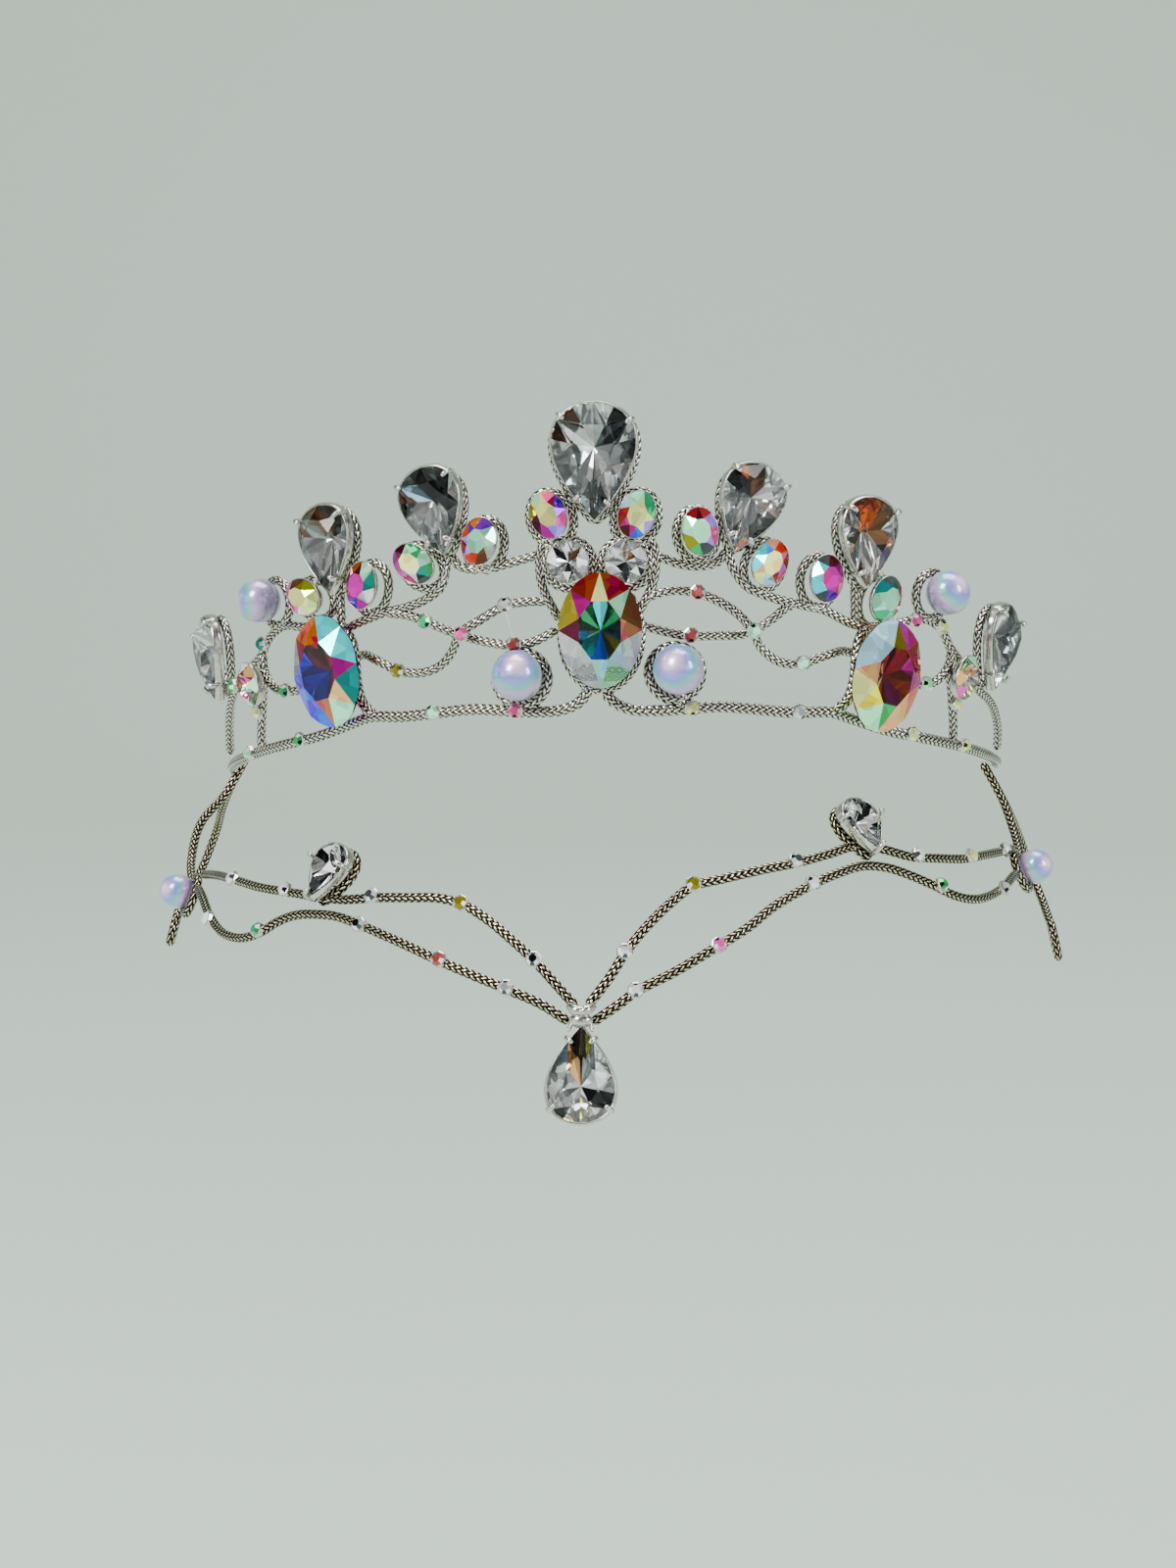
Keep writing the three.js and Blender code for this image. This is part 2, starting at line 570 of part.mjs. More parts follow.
for (const sideName of ['left', 'right']) {
  addCord({
    name: `temple_link_${sideName}`,
    surface: browPoint,
    strands: TEMPLE_LINK[sideName].map(skin),
    loops: [
      { ...placeOf(BROW_PEARLS, `temple_pearl_${sideName}`), cut: 'templePearl', grow: 0.2,
        lift: ON_SKIN },
      { ...HAIRPIN_LOOP[sideName], cut: 'hairpin', lift: ON_SKIN },
    ],
  });
  addCord({
    name: `frontlet_upper_${sideName}`,
    surface: browPoint,
    strands: [skin(FRONTLET_UPPER[sideName])],
    loops: [{ ...placeOf(BROW_STONES, `brow_stone_${sideName}`), cut: 'browPear', grow: -0.1,
      lift: ON_SKIN }],
  });
  addCord({
    name: `frontlet_lower_${sideName}`,
    surface: browPoint,
    strands: [skin(FRONTLET_LOWER[sideName])],
  });
}

export default group;
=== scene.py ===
"""Looks of a ballet tiara with a forehead frontlet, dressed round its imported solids.

Metres, +X the viewer's right, -Y the front, +Z up; the origin is the middle of the head at the
level of the frontlet's V. Tables hold millimetres and degrees, as the makers of such pieces do.
"""

import bpy
import numpy as np
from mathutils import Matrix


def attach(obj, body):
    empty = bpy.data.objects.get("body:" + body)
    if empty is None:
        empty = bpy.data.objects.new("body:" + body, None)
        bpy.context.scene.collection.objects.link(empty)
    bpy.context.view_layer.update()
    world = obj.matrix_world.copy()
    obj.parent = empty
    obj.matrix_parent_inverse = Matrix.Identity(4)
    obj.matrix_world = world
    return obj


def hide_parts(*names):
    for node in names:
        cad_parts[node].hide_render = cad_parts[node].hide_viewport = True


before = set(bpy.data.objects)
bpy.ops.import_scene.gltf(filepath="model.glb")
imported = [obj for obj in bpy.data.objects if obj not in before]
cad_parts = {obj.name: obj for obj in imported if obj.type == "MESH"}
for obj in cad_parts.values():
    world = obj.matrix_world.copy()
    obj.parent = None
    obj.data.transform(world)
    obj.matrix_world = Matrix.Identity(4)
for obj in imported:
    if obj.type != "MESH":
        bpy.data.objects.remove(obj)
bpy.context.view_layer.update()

# ======== the view
# A portrait lens at arm's length, 3 cm right of the middle and turned back towards it, looks
# a little down on the front.

CAMERA_PLACE = (0.02874, -0.5945, 0.12243)
CAMERA_DROP, CAMERA_SWING = 10, 3.2

camera_data = bpy.data.cameras.new("camera")
camera_data.lens = 80.1
camera_data.sensor_width = 36
camera = bpy.data.objects.new("camera", camera_data)
camera.location = CAMERA_PLACE
camera.rotation_euler = np.radians([90 - CAMERA_DROP, 0, CAMERA_SWING])
bpy.context.scene.collection.objects.link(camera)
bpy.context.scene.camera = camera

# ======== the studio
# A pale green-grey paper sweep, broad soft lamps above and at the sides, and a darker room in
# front of it, which polished metal and foil mirror as their dark facets.


def linear(hex_colour):
    """An sRGB hex colour as linear red, green, blue and a full alpha."""
    parts = np.array([int(hex_colour[i:i + 2], 16) for i in (1, 3, 5)]) / 255
    low, high = parts / 12.92, ((parts + 0.055) / 1.055) ** 2.4
    return (*np.where(parts <= 0.04045, low, high).tolist(), 1.0)


def set_inputs(node, inputs):
    """Gives a node's inputs, by name or number, a value each, or a socket to link."""
    for key, value in inputs.items():
        if isinstance(value, bpy.types.NodeSocket):
            node.id_data.links.new(value, node.inputs[key])
        else:
            node.inputs[key].default_value = value


def add_node(tree, kind, inputs=None, stops=(), **settings):
    """Adds a node with its settings and inputs, and a ramp's stops of position and colour."""
    made = tree.nodes.new(kind)
    for name, value in settings.items():
        setattr(made, name, value)
    while stops and len(made.color_ramp.elements) < len(stops):
        made.color_ramp.elements.new(0.5)
    for index, (position, colour) in enumerate(stops):
        made.color_ramp.elements[index].position = position
        made.color_ramp.elements[index].color = colour
    set_inputs(made, inputs or {})
    return made


# Sockets of a mix of colours, by number.
FACTOR, FIRST, SECOND, MIXED = 0, 6, 7, 2


def new_material(name):
    """An empty node material with its principled shader and output joined; gives the three."""
    made = bpy.data.materials.new(name)
    made.use_nodes = True
    tree = made.node_tree
    tree.nodes.clear()
    shader = add_node(tree, "ShaderNodeBsdfPrincipled")
    add_node(tree, "ShaderNodeOutputMaterial", {"Surface": shader.outputs["BSDF"]})
    return made, tree, shader


def mottled(tree, pale, deep, scale, detail=2.0):
    """Two tones of one stuff, mixed by noise in the object's own metres, and that noise."""
    clouds = add_node(tree, "ShaderNodeTexNoise", {
        "Vector": add_node(tree, "ShaderNodeTexCoord").outputs["Object"],
        "Scale": scale, "Detail": detail}).outputs["Fac"]
    return add_node(tree, "ShaderNodeMix", {
        FACTOR: clouds, FIRST: linear(pale), SECOND: linear(deep)},
        data_type="RGBA").outputs[MIXED], clouds


def mesh_object(name, points, faces, smooth=True):
    """A new object in the scene from an array of points and its faces."""
    mesh = bpy.data.meshes.new(name)
    mesh.from_pydata(points, [], faces)
    mesh.polygons.foreach_set("use_smooth", np.full(len(mesh.polygons), smooth))
    mesh.update()
    made = bpy.data.objects.new(name, mesh)
    bpy.context.scene.collection.objects.link(made)
    return made


def grid_faces(rows, columns, closed_rows=False, closed_columns=False):
    """Quads of a grid of points, row by row; a closed side joins its last points to its first."""
    row = np.arange(rows if closed_rows else rows - 1)[:, None]
    column = np.arange(columns if closed_columns else columns - 1)[None, :]
    next_row, next_column = (row + 1) % rows, (column + 1) % columns
    corners = [row * columns + column, row * columns + next_column,
               next_row * columns + next_column, next_row * columns + column]
    return np.dstack(np.broadcast_arrays(*corners)).reshape(-1, 4).tolist()


SWEEP_HALF_WIDTH = 5.0
SWEEP_FRONT, SWEEP_BACK = -2.6, 2.2
SWEEP_TOP = 3.0
SWEEP_RADIUS = 0.9
FLOOR_LEVEL = -0.235


def paper_sweep():
    """Profile in y and z: flat floor, a quarter circle, then a wall; it is carried along x."""
    turn = np.linspace(0, np.pi / 2, 24)
    curve_y = SWEEP_BACK - SWEEP_RADIUS + SWEEP_RADIUS * np.sin(turn)
    curve_z = FLOOR_LEVEL + SWEEP_RADIUS * (1 - np.cos(turn))
    y = np.hstack([SWEEP_FRONT, curve_y, SWEEP_BACK])
    z = np.hstack([FLOOR_LEVEL, curve_z, SWEEP_TOP])
    x = np.linspace(SWEEP_HALF_WIDTH, -SWEEP_HALF_WIDTH, 2)
    points = np.dstack(np.broadcast_arrays(x, y[:, None], z[:, None])).reshape(-1, 3)
    return points, grid_faces(len(y), 2)


# Matt card, rolled from pulp: no gloss, and faint clouds of a slightly paler tone.
paper, paper_tree, paper_shader = new_material("matt background paper")
paper_tone, _ = mottled(paper_tree, "#BDD0C2", "#D0E0D4", 0.9, 1.0)
set_inputs(paper_shader, {"Base Color": paper_tone, "Roughness": 0.9})

sweep = mesh_object("paper_sweep", *paper_sweep())
sweep.data.materials.append(paper)

LAMP_AIM = (0, -0.02, 0.03)


def add_lamp(name, place, width, height, watts, tint="#FFFFFF"):
    """A rectangular soft lamp at a place, turned to the tiara."""
    lamp_data = bpy.data.lights.new(name, "AREA")
    lamp_data.shape = "RECTANGLE"
    lamp_data.size, lamp_data.size_y = width, height
    lamp_data.energy = watts
    lamp_data.color = linear(tint)[:3]
    lamp = bpy.data.objects.new(name, lamp_data)
    lamp.location = place
    x, y, z = np.array(LAMP_AIM) - np.array(place)
    lamp.rotation_euler = (np.arctan2(np.hypot(x, y), -z), 0, np.arctan2(-x, y))
    bpy.context.scene.collection.objects.link(lamp)


add_lamp("key_window", (-0.9, -1.2, 1.3), 0.6, 0.8, 40)
add_lamp("fill_window", (1.35, -0.75, 0.7), 0.35, 0.7, 12, "#F4F8FF")
add_lamp("ceiling", (0.1, 0.3, 1.7), 1.2, 1.0, 24)

# From the floor up: paper, the dark lower room, a bright band of windows at eye level, dim
# upper walls and a bright ceiling. Their patches make one facet flash and the next one dim.
ROOM_TONES = ((0, "#B9BDB6"), (0.33, "#8E8C82"), (0.44, "#3C382E"), (0.5, "#EDF0F0"),
              (0.66, "#FFFFFF"), (0.74, "#57554E"), (0.86, "#8F8F8A"), (1, "#FFFFFF"))
PATCH_GAINS = ((0, (0.2, 0.2, 0.19, 1)), (0.3, (0.6, 0.6, 0.58, 1)),
               (0.55, (1.1, 1.1, 1.1, 1)), (0.85, (1.9, 1.9, 1.9, 1)))
SEEN_ROOM = "#B6C6BC"

world = bpy.data.worlds.new("studio room")
bpy.context.scene.world = world
world.use_nodes = True
room = world.node_tree
room.nodes.clear()
room_direction = add_node(room, "ShaderNodeTexCoord").outputs["Generated"]
room_height = add_node(room, "ShaderNodeMapRange", {
    "Value": add_node(room, "ShaderNodeSeparateXYZ", {"Vector": room_direction}).outputs["Z"],
    "From Min": -1.0, "From Max": 1.0}).outputs["Result"]
room_tone = add_node(room, "ShaderNodeValToRGB", {"Fac": room_height}, [
    (position, linear(colour)) for position, colour in ROOM_TONES]).outputs["Color"]
room_patches = add_node(room, "ShaderNodeTexVoronoi", {
    "Vector": room_direction, "Scale": 2.6, "Randomness": 0.9}, feature="F1").outputs["Color"]
room_gain = add_node(room, "ShaderNodeValToRGB", {
    "Fac": add_node(room, "ShaderNodeSeparateColor", {"Color": room_patches}).outputs["Red"]},
    PATCH_GAINS).outputs["Color"]
room_glow = add_node(room, "ShaderNodeMix", {FACTOR: 1.0, FIRST: room_tone, SECOND: room_gain},
                     data_type="RGBA", blend_type="MULTIPLY").outputs[MIXED]
room_seen = add_node(room, "ShaderNodeMix", {
    FACTOR: add_node(room, "ShaderNodeLightPath").outputs["Is Camera Ray"],
    FIRST: room_glow, SECOND: linear(SEEN_ROOM)}, data_type="RGBA").outputs[MIXED]
room_light = add_node(room, "ShaderNodeBackground", {"Color": room_seen, "Strength": 1.0})
add_node(room, "ShaderNodeOutputWorld", {"Surface": room_light.outputs["Background"]})

# ======== the stones
# Pressed glass cut to ovals, pears and small rounds, backed with mirror foil. The crown is a
# table, eight tall stars and eight corner facets; behind it eight kites, each folded along its
# keel, meet at the culet.

# The tiara's wall is an ellipse that flares upwards and stands higher in front; the frontlet
# lies on the rounded brow. Every piece is placed by azimuth, height and lift on one of these.
MM = 0.001
WALL_HALF_WIDTH, WALL_HALF_DEPTH = 66, 60
WALL_LEVEL = 21.6
WALL_TILT, WALL_FLARE, WALL_ROLL = np.radians([17, 10, 1.1])
BROW_HALF_WIDTH, BROW_HALF_DEPTH, BROW_HALF_HEIGHT = 79, 104, 92
BROW_MIDDLE = -43
BROW_POWER = 2.35


def unit(vectors):
    """Each vector by its length."""
    return vectors / np.linalg.norm(vectors, axis=-1, keepdims=True)


def wall(azimuth, height, lift):
    """Elliptical cone: its half axes grow by height times the flare's tangent, plus the lift;
    the height grows with x by the roll, and the whole is turned about x by the tilt."""
    azimuth = np.radians(azimuth)
    outward = height * np.tan(WALL_FLARE) + lift
    x = (WALL_HALF_WIDTH + outward) * np.sin(azimuth)
    y = -(WALL_HALF_DEPTH + outward) * np.cos(azimuth)
    rise = height + x * np.tan(WALL_ROLL)
    return MM * np.stack([
        x, y * np.cos(WALL_TILT) + rise * np.sin(WALL_TILT),
        WALL_LEVEL - y * np.sin(WALL_TILT) + rise * np.cos(WALL_TILT)], axis=-1)


def brow(azimuth, level, lift):
    """Superellipsoid: the ellipse at a level shrinks by the power law of its height from the
    middle; the point then moves along the normal, the gradient of that law, by the lift."""
    azimuth = np.radians(azimuth)
    above = np.abs(level - BROW_MIDDLE) / BROW_HALF_HEIGHT
    shrink = (1 - above ** BROW_POWER) ** (1 / BROW_POWER)
    x = BROW_HALF_WIDTH * shrink * np.sin(azimuth)
    y = -BROW_HALF_DEPTH * shrink * np.cos(azimuth)
    side = shrink ** (BROW_POWER - 2)
    normal = unit(np.stack([
        side * x / BROW_HALF_WIDTH ** 2, side * y / BROW_HALF_DEPTH ** 2,
        np.sign(level - BROW_MIDDLE) * above ** (BROW_POWER - 1) / BROW_HALF_HEIGHT], axis=-1))
    on_skin = np.stack(np.broadcast_arrays(x, y, level), axis=-1)
    return MM * (on_skin + normal * np.asarray(lift)[..., None])


def seat(surface, azimuth, height, lift, lean=0, turn=0):
    """Axes and place of a stone: x runs along the surface, z out of it, y up; the stone then
    turns about y and leans about z. The axes are the columns of a matrix."""
    place = surface(azimuth, height, lift)
    across = unit(surface(azimuth + 0.1, height, lift) - place)
    rise = surface(azimuth, height + 0.1, lift) - place
    out = unit(np.cross(across, rise))
    axes = np.stack([across, np.cross(out, across), out], axis=1)
    turn, lean = np.radians([turn, -lean])
    about_y = np.array([[np.cos(turn), 0, np.sin(turn)], [0, 1, 0],
                        [-np.sin(turn), 0, np.cos(turn)]])
    about_z = np.array([[np.cos(lean), -np.sin(lean), 0], [np.sin(lean), np.cos(lean), 0],
                        [0, 0, 1]])
    return axes @ about_y @ about_z, place


def seated(points, axes, place):
    """Points in millimetres in a stone's own axes, as metres in the row frame."""
    return MM * points @ axes.T + place


def add_piece(name, points, faces, materials, slot, replaced=None, smooth=True):
    """A piece of the tiara with its materials, attached to the root; it hides the solid that it
    replaces.
    """
    made = mesh_object(name, points, faces, smooth)
    for material in materials:
        made.data.materials.append(material)
    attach(made, "root")
    if replaced:
        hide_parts(replaced)
    return made.data


CUTS = {
    "largeOval": dict(outline="oval", width=13, length=18, crown=2.3, pavilion=3.2, lift=4.05),
    "largePear": dict(outline="pear", width=13, length=18, crown=2.3, pavilion=3.2, lift=2.75),
    "pear": dict(outline="pear", width=10, length=14, crown=1.9, pavilion=2.7, lift=2.75),
    "drop": dict(outline="pear", width=10, length=14, crown=1.9, pavilion=2.7, lift=2.7),
    "browPear": dict(outline="pear", width=7, length=9, crown=1.5, pavilion=2.1, lift=3.5),
    "accent": dict(outline="oval", width=5.6, length=7.4, crown=1.4, pavilion=1.9, lift=3.05),
    "round": dict(outline="oval", width=6.4, length=6.4, crown=1.2, pavilion=2.0, lift=2.15),
    "pearl": dict(outline="oval", width=7.8, length=7.8, lift=3.45),
    "crestPearl": dict(outline="oval", width=7, length=7, lift=3.45),
    "templePearl": dict(outline="oval", width=5.8, length=5.8, lift=3.3),
    "hairpin": dict(outline="oval", width=3.6, length=6.4),
}
SECTORS = 8
GIRDLE_STEPS = 4
GIRDLE_HALF = 0.28
TABLE_SCALE = 0.54
PAVILION_SCALE = 0.46
PAVILION_KNEE = 0.62
PEAR_FULLNESS = 1.299
PEAR_HEART = 0.12


def turns(count, offset=0):
    """Equal steps of a full turn, from an offset given in parts of a step."""
    return 2 * np.pi * (np.arange(count) + offset) / count


def outline(cut, turn, scale=1.0, grow=0.0):
    """Outline point at a turn from the top. Oval: an ellipse. Pear: x is the sine times the
    cosine of half the turn, so that it narrows to its tip, scaled about the pear's heart."""
    half_width = cut["width"] / 2 + grow
    half_length = cut["length"] / 2 + grow
    if cut["outline"] == "oval":
        x = -half_width * scale * np.sin(turn)
        y = half_length * scale * np.cos(turn)
    else:
        x = -PEAR_FULLNESS * half_width * np.sin(turn) * np.abs(np.cos(turn / 2)) * scale
        heart = PEAR_HEART * cut["length"]
        y = heart + (half_length * np.cos(turn) - heart) * scale
    return np.stack([x, y], axis=-1)


def at_level(flat, level):
    """Flat points, all raised to one level."""
    return np.hstack([flat, np.full((len(flat), 1), float(level))])


def drop_to_planes(middle, apex, first, last):
    """Gives points the level of the plane through an apex and two others, facet by facet."""
    normal = np.cross(first - apex, last - apex)[:, None]
    away = ((middle - apex[:, None]) * normal)[..., :2].sum(axis=-1)
    middle[..., 2] = apex[:, None, 2] - away / normal[..., 2]


def cut_stone(cut):
    """Facets by their corners: rings of the table, girdle and pavilion, and the culet. The
    girdle is scalloped where it meets flat facets. Gives points, faces and foil flags."""
    steps = SECTORS * GIRDLE_STEPS
    table = at_level(outline(cut, turns(SECTORS, 0.5), TABLE_SCALE), cut["crown"])
    upper = at_level(outline(cut, turns(steps)), GIRDLE_HALF)
    lower = at_level(outline(cut, turns(steps)), -GIRDLE_HALF)
    knee = -GIRDLE_HALF - (cut["pavilion"] - GIRDLE_HALF) * PAVILION_KNEE
    inner = at_level(outline(cut, turns(SECTORS, 0.5), PAVILION_SCALE), knee)
    heart = PEAR_HEART * cut["length"] if cut["outline"] == "pear" else 0
    culet = np.array([[0, heart, -cut["pavilion"]]])

    by_sector = upper.reshape(SECTORS, GIRDLE_STEPS, 3)
    drop_to_planes(by_sector[:, 1:], table, by_sector[:, 0], np.roll(by_sector[:, 0], -1, axis=0))
    points = np.concatenate([table, upper, lower, inner, culet])
    upper_at = SECTORS
    lower_at = upper_at + steps
    inner_at = lower_at + steps

    sector = np.arange(SECTORS)[:, None]
    previous = (sector - 1) % SECTORS
    round_rim = (sector * GIRDLE_STEPS + np.arange(GIRDLE_STEPS + 1)) % steps
    half = GIRDLE_STEPS // 2
    stars = np.hstack([previous, upper_at + sector * GIRDLE_STEPS, sector])
    corners = np.hstack([sector, upper_at + round_rim])
    rim = np.arange(steps)[:, None]
    next_rim = (rim + 1) % steps
    band = np.hstack([upper_at + rim, lower_at + rim, lower_at + next_rim, upper_at + next_rim])
    near = np.hstack([inner_at + sector, lower_at + round_rim[:, half::-1]])
    far = np.hstack([inner_at + sector, lower_at + round_rim[:, :half - 1:-1]])
    flanks = np.stack([near, far], axis=1).reshape(-1, half + 2)
    culets = np.full((SECTORS, 1), inner_at + SECTORS)
    keel = lower_at + sector * GIRDLE_STEPS
    kites = np.stack([np.hstack([culets, inner_at + sector, keel]),
                      np.hstack([culets, keel, inner_at + previous])], axis=1).reshape(-1, 3)
    crown_faces = [list(range(SECTORS))] + stars.tolist() + corners.tolist() + band.tolist()
    foil_faces = flanks.tolist() + kites.tolist()
    return points, crown_faces + foil_faces, [0] * len(crown_faces) + [1] * len(foil_faces)


# Fires of the facets, one letter each. On clear stones the whites, greys, blacks and browns
# are painted reflections of a bright and a dark room in the foil; on aurora stones the coloured
# letters paint a coat in the colours of a soap film, among the same painted reflections.
PAINTED_FIRES = {
    "W": "#FFFFFF", "L": "#D8DEDE", "G": "#8F9798", "D": "#434B4E", "K": "#101316",
    "N": "#5E3A1C", "H": "#B0564C", "O": "#C84E0C", "S": "#F5B478", "R": "#8E0618",
    "X": "#4A041C", "M": "#B4008A", "P": "#5A10B4", "U": "#1C14F0", "B": "#0C60F0",
    "C": "#22F2FF", "T": "#04827A", "E": "#1FA864", "Y": "#FAFF9A", "V": "#847E08",
    "F": "#A6FFCC", "I": "#FF5CB8", "J": "#B4E4FF", "A": "#F2E400", "Q": "#AE82FF",
}
THIN_COAT = 0.35
# The shaded half darkens one half of each kite's colour: a painted shade.
SHADED_HALF = 0.56


def letters_to_colours(letters):
    """Linear colours of a row of letters. A capital is a full coat, with an alpha of 1; a small
    letter is a thin one that lets the foil through; a dot is clear glass."""
    colours = np.array([linear(PAINTED_FIRES.get(letter.upper(), "#FFFFFF")) for letter in letters])
    colours[:, 3] = [letter.isupper() + THIN_COAT * letter.islower() for letter in letters]
    return colours


def facet_colours(fires):
    """Colours of a stone's facets in the order of its faces. The fires are words for the foil's
    flanks and kites, then the crown's stars, corners and table, which are clear where no word
    is left. Each letter stands for a facet; one half of each kite is darkened as a painted shade."""
    clear = ["." * SECTORS, "." * SECTORS, "."]
    words = fires.split()
    flanks, kites, stars, corners, table = words + clear[len(words) - 2:]
    band = "." * SECTORS * GIRDLE_STEPS
    halves = np.repeat(letters_to_colours(kites), 2, axis=0)
    halves[1::2, :3] *= SHADED_HALF
    return np.concatenate([letters_to_colours(table + stars + corners + band + flanks), halves])


def paint_facets(mesh, colours):
    """Stores one colour a face in the corner attribute that the materials read."""
    totals = np.zeros(len(mesh.polygons), int)
    mesh.polygons.foreach_get("loop_total", totals)
    attribute = mesh.color_attributes.new("fire", "FLOAT_COLOR", "CORNER")
    attribute.data.foreach_set("color", np.repeat(colours, totals, axis=0).ravel())


# Lead-free crystal glass, fire polished: clear, with a sharp gloss. A facet whose fire has an
# alpha shows a coat of its own colour, broken into splinters of 2 mm, each a little turned in
# hue and made brighter or darker: painted reflections of the foil's facets mirrored in it.
# Where it has none the foil behind is seen.
GLASS_IOR = 1.4
COAT_METAL = 0.6
SPLINTER_WIDTH = 2.0
HUE_TURN = 0.035
REFLECTION_SPLINTER_VALUES = (0.72, 1.25)
glass, glass_tree, glass_shader = new_material("fire-polished crystal glass")
glass_painted_fire = add_node(glass_tree, "ShaderNodeAttribute", attribute_name="fire").outputs
glass_clear = add_node(glass_tree, "ShaderNodeMath", {0: 1.0, 1: glass_painted_fire["Alpha"]},
                       operation="SUBTRACT").outputs[0]
glass_coat = add_node(glass_tree, "ShaderNodeMath", {0: glass_painted_fire["Alpha"], 1: COAT_METAL},
                      operation="MULTIPLY").outputs[0]
glass_reflection_splinters = add_node(glass_tree, "ShaderNodeSeparateColor", {
    "Color": add_node(glass_tree, "ShaderNodeTexVoronoi", {
        "Vector": add_node(glass_tree, "ShaderNodeTexCoord").outputs["Object"],
        "Scale": 1 / (SPLINTER_WIDTH * MM)}).outputs["Color"]}).outputs
glass_hue = add_node(glass_tree, "ShaderNodeMapRange", {
    "Value": glass_reflection_splinters["Red"], "To Min": 0.5 - HUE_TURN,
    "To Max": 0.5 + HUE_TURN}).outputs["Result"]
# Painted reflections: each splinter is made brighter or darker.
glass_reflection_value = add_node(glass_tree, "ShaderNodeMapRange", {
    "Value": glass_reflection_splinters["Green"], "To Min": REFLECTION_SPLINTER_VALUES[0],
    "To Max": REFLECTION_SPLINTER_VALUES[1]}).outputs["Result"]
glass_tone = add_node(glass_tree, "ShaderNodeHueSaturation", {
    "Color": glass_painted_fire["Color"], "Hue": glass_hue, "Value": glass_reflection_value}).outputs["Color"]
set_inputs(glass_shader, {
    "Base Color": glass_tone, "Transmission Weight": glass_clear, "Metallic": glass_coat,
    "IOR": GLASS_IOR, "Roughness": 0.0})

# Silver mirrored chemically on the back of the glass: a bright foil with hardly any blur. Its
# colour is painted facet by facet: white, grey, black and brown facets are painted reflections
# of the room, the others aurora colours.
foil, foil_tree, foil_shader = new_material("silver foil backing")
set_inputs(foil_shader, {
    "Base Color": add_node(foil_tree, "ShaderNodeAttribute",
                           attribute_name="fire").outputs["Color"],
    "Metallic": 0.85, "Roughness": 0.06})

AURORA_CUTS = ("largeOval", "accent")
SEATED = {}


def add_stone(name, cut, azimuth, height, lean, fires, turn=0, surface=wall):
    """Cuts a stone, seats it and paints its facets. Its seat is kept for what holds it."""
    place = dict(azimuth=azimuth, height=height, lift=CUTS[cut]["lift"], lean=lean, turn=turn)
    SEATED[name] = cut, surface, place
    points, faces, is_foil = cut_stone(CUTS[cut])
    mesh = add_piece(f"{name}_cut", seated(points, *seat(surface, **place)), faces,
                     [glass, foil], "aurora_glass" if cut in AURORA_CUTS else "clear_glass",
                     name, False)
    mesh.polygons.foreach_set("material_index", is_foil)
    paint_facets(mesh, facet_colours(fires))


# Name, cut, azimuth, height, lean and painted fires, and the turn of the side ovals.
WALL_STONES = [
    ("centre_oval", "largeOval", 0.6, 11.7, 0, "RXVVMXUBVNTBOORX CEFCBVTE YMXlfjHF RVwlflNR"),
    ("side_oval_left", "largeOval", -37.6, 8, -6,
     "RRUUUUUUMMHHSSMM RXUUMMMR ORUUHSMC OGUUFTCC", 3),
    ("side_oval_right", "largeOval", 39.7, 6.5, 6,
     "SSYYAAFFTTOOMMRR RSHYOMOR VJSAESMR JJYFSORM", -3),
    ("centre_teardrop", "largePear", -0.4, 37.7, 0, "LNNWGLGKKDGWDLKW LWLWGWGD"),
    ("inner_teardrop_left", "pear", -20.5, 31.3, -12, "KDNKWLGWLWGLWLKD KJWLWLDK"),
    ("inner_teardrop_right", "pear", 18.6, 31, 18, "NOKLWGDWLWGDWWWW NKGWLGWW"),
    ("outer_teardrop_left", "pear", -36.8, 27.4, -2, "NNNLWGDWLWGDGLDK NGLWDWLD"),
    ("outer_teardrop_right", "pear", 35.3, 27.2, -1, "OONLWGDWLWGDGLNO OGDWLWSN"),
    ("end_teardrop_left", "pear", -71, 15.3, -4, "LWGLWGDWLWGDGLDK WLGWLWGD"),
    ("end_teardrop_right", "pear", 66, 14.8, 4, "LWGLWGDWLWGDGLDK WLGWLWGD"),
    ("round_crystal_left", "round", -3.6, 22.6, 0,
     "WLWKWLWWLWKWWLWW WDWLKWLN W.W.W.W. .W...W.."),
    ("round_crystal_right", "round", 3.6, 22.5, 0,
     "WLWWLKWLWWKWLWWL WLWKDWLS .W.W.W.W ..W...W."),
]
BROW_STONES = [
    ("forehead_drop", "drop", 0.1, -8.4, 180, "WWKGLWVKNKJLWWKW WKWGKSLL"),
    ("brow_stone_left", "browPear", -35.8, 14.6, 4,
     "LWKWWKDWLWKKWLDK WKWKLWKD W..W..W. ........"),
    ("brow_stone_right", "browPear", 39.8, 20.9, 4, "LWKLWGDWLWGKWLDK WDGKWLWK"),
]
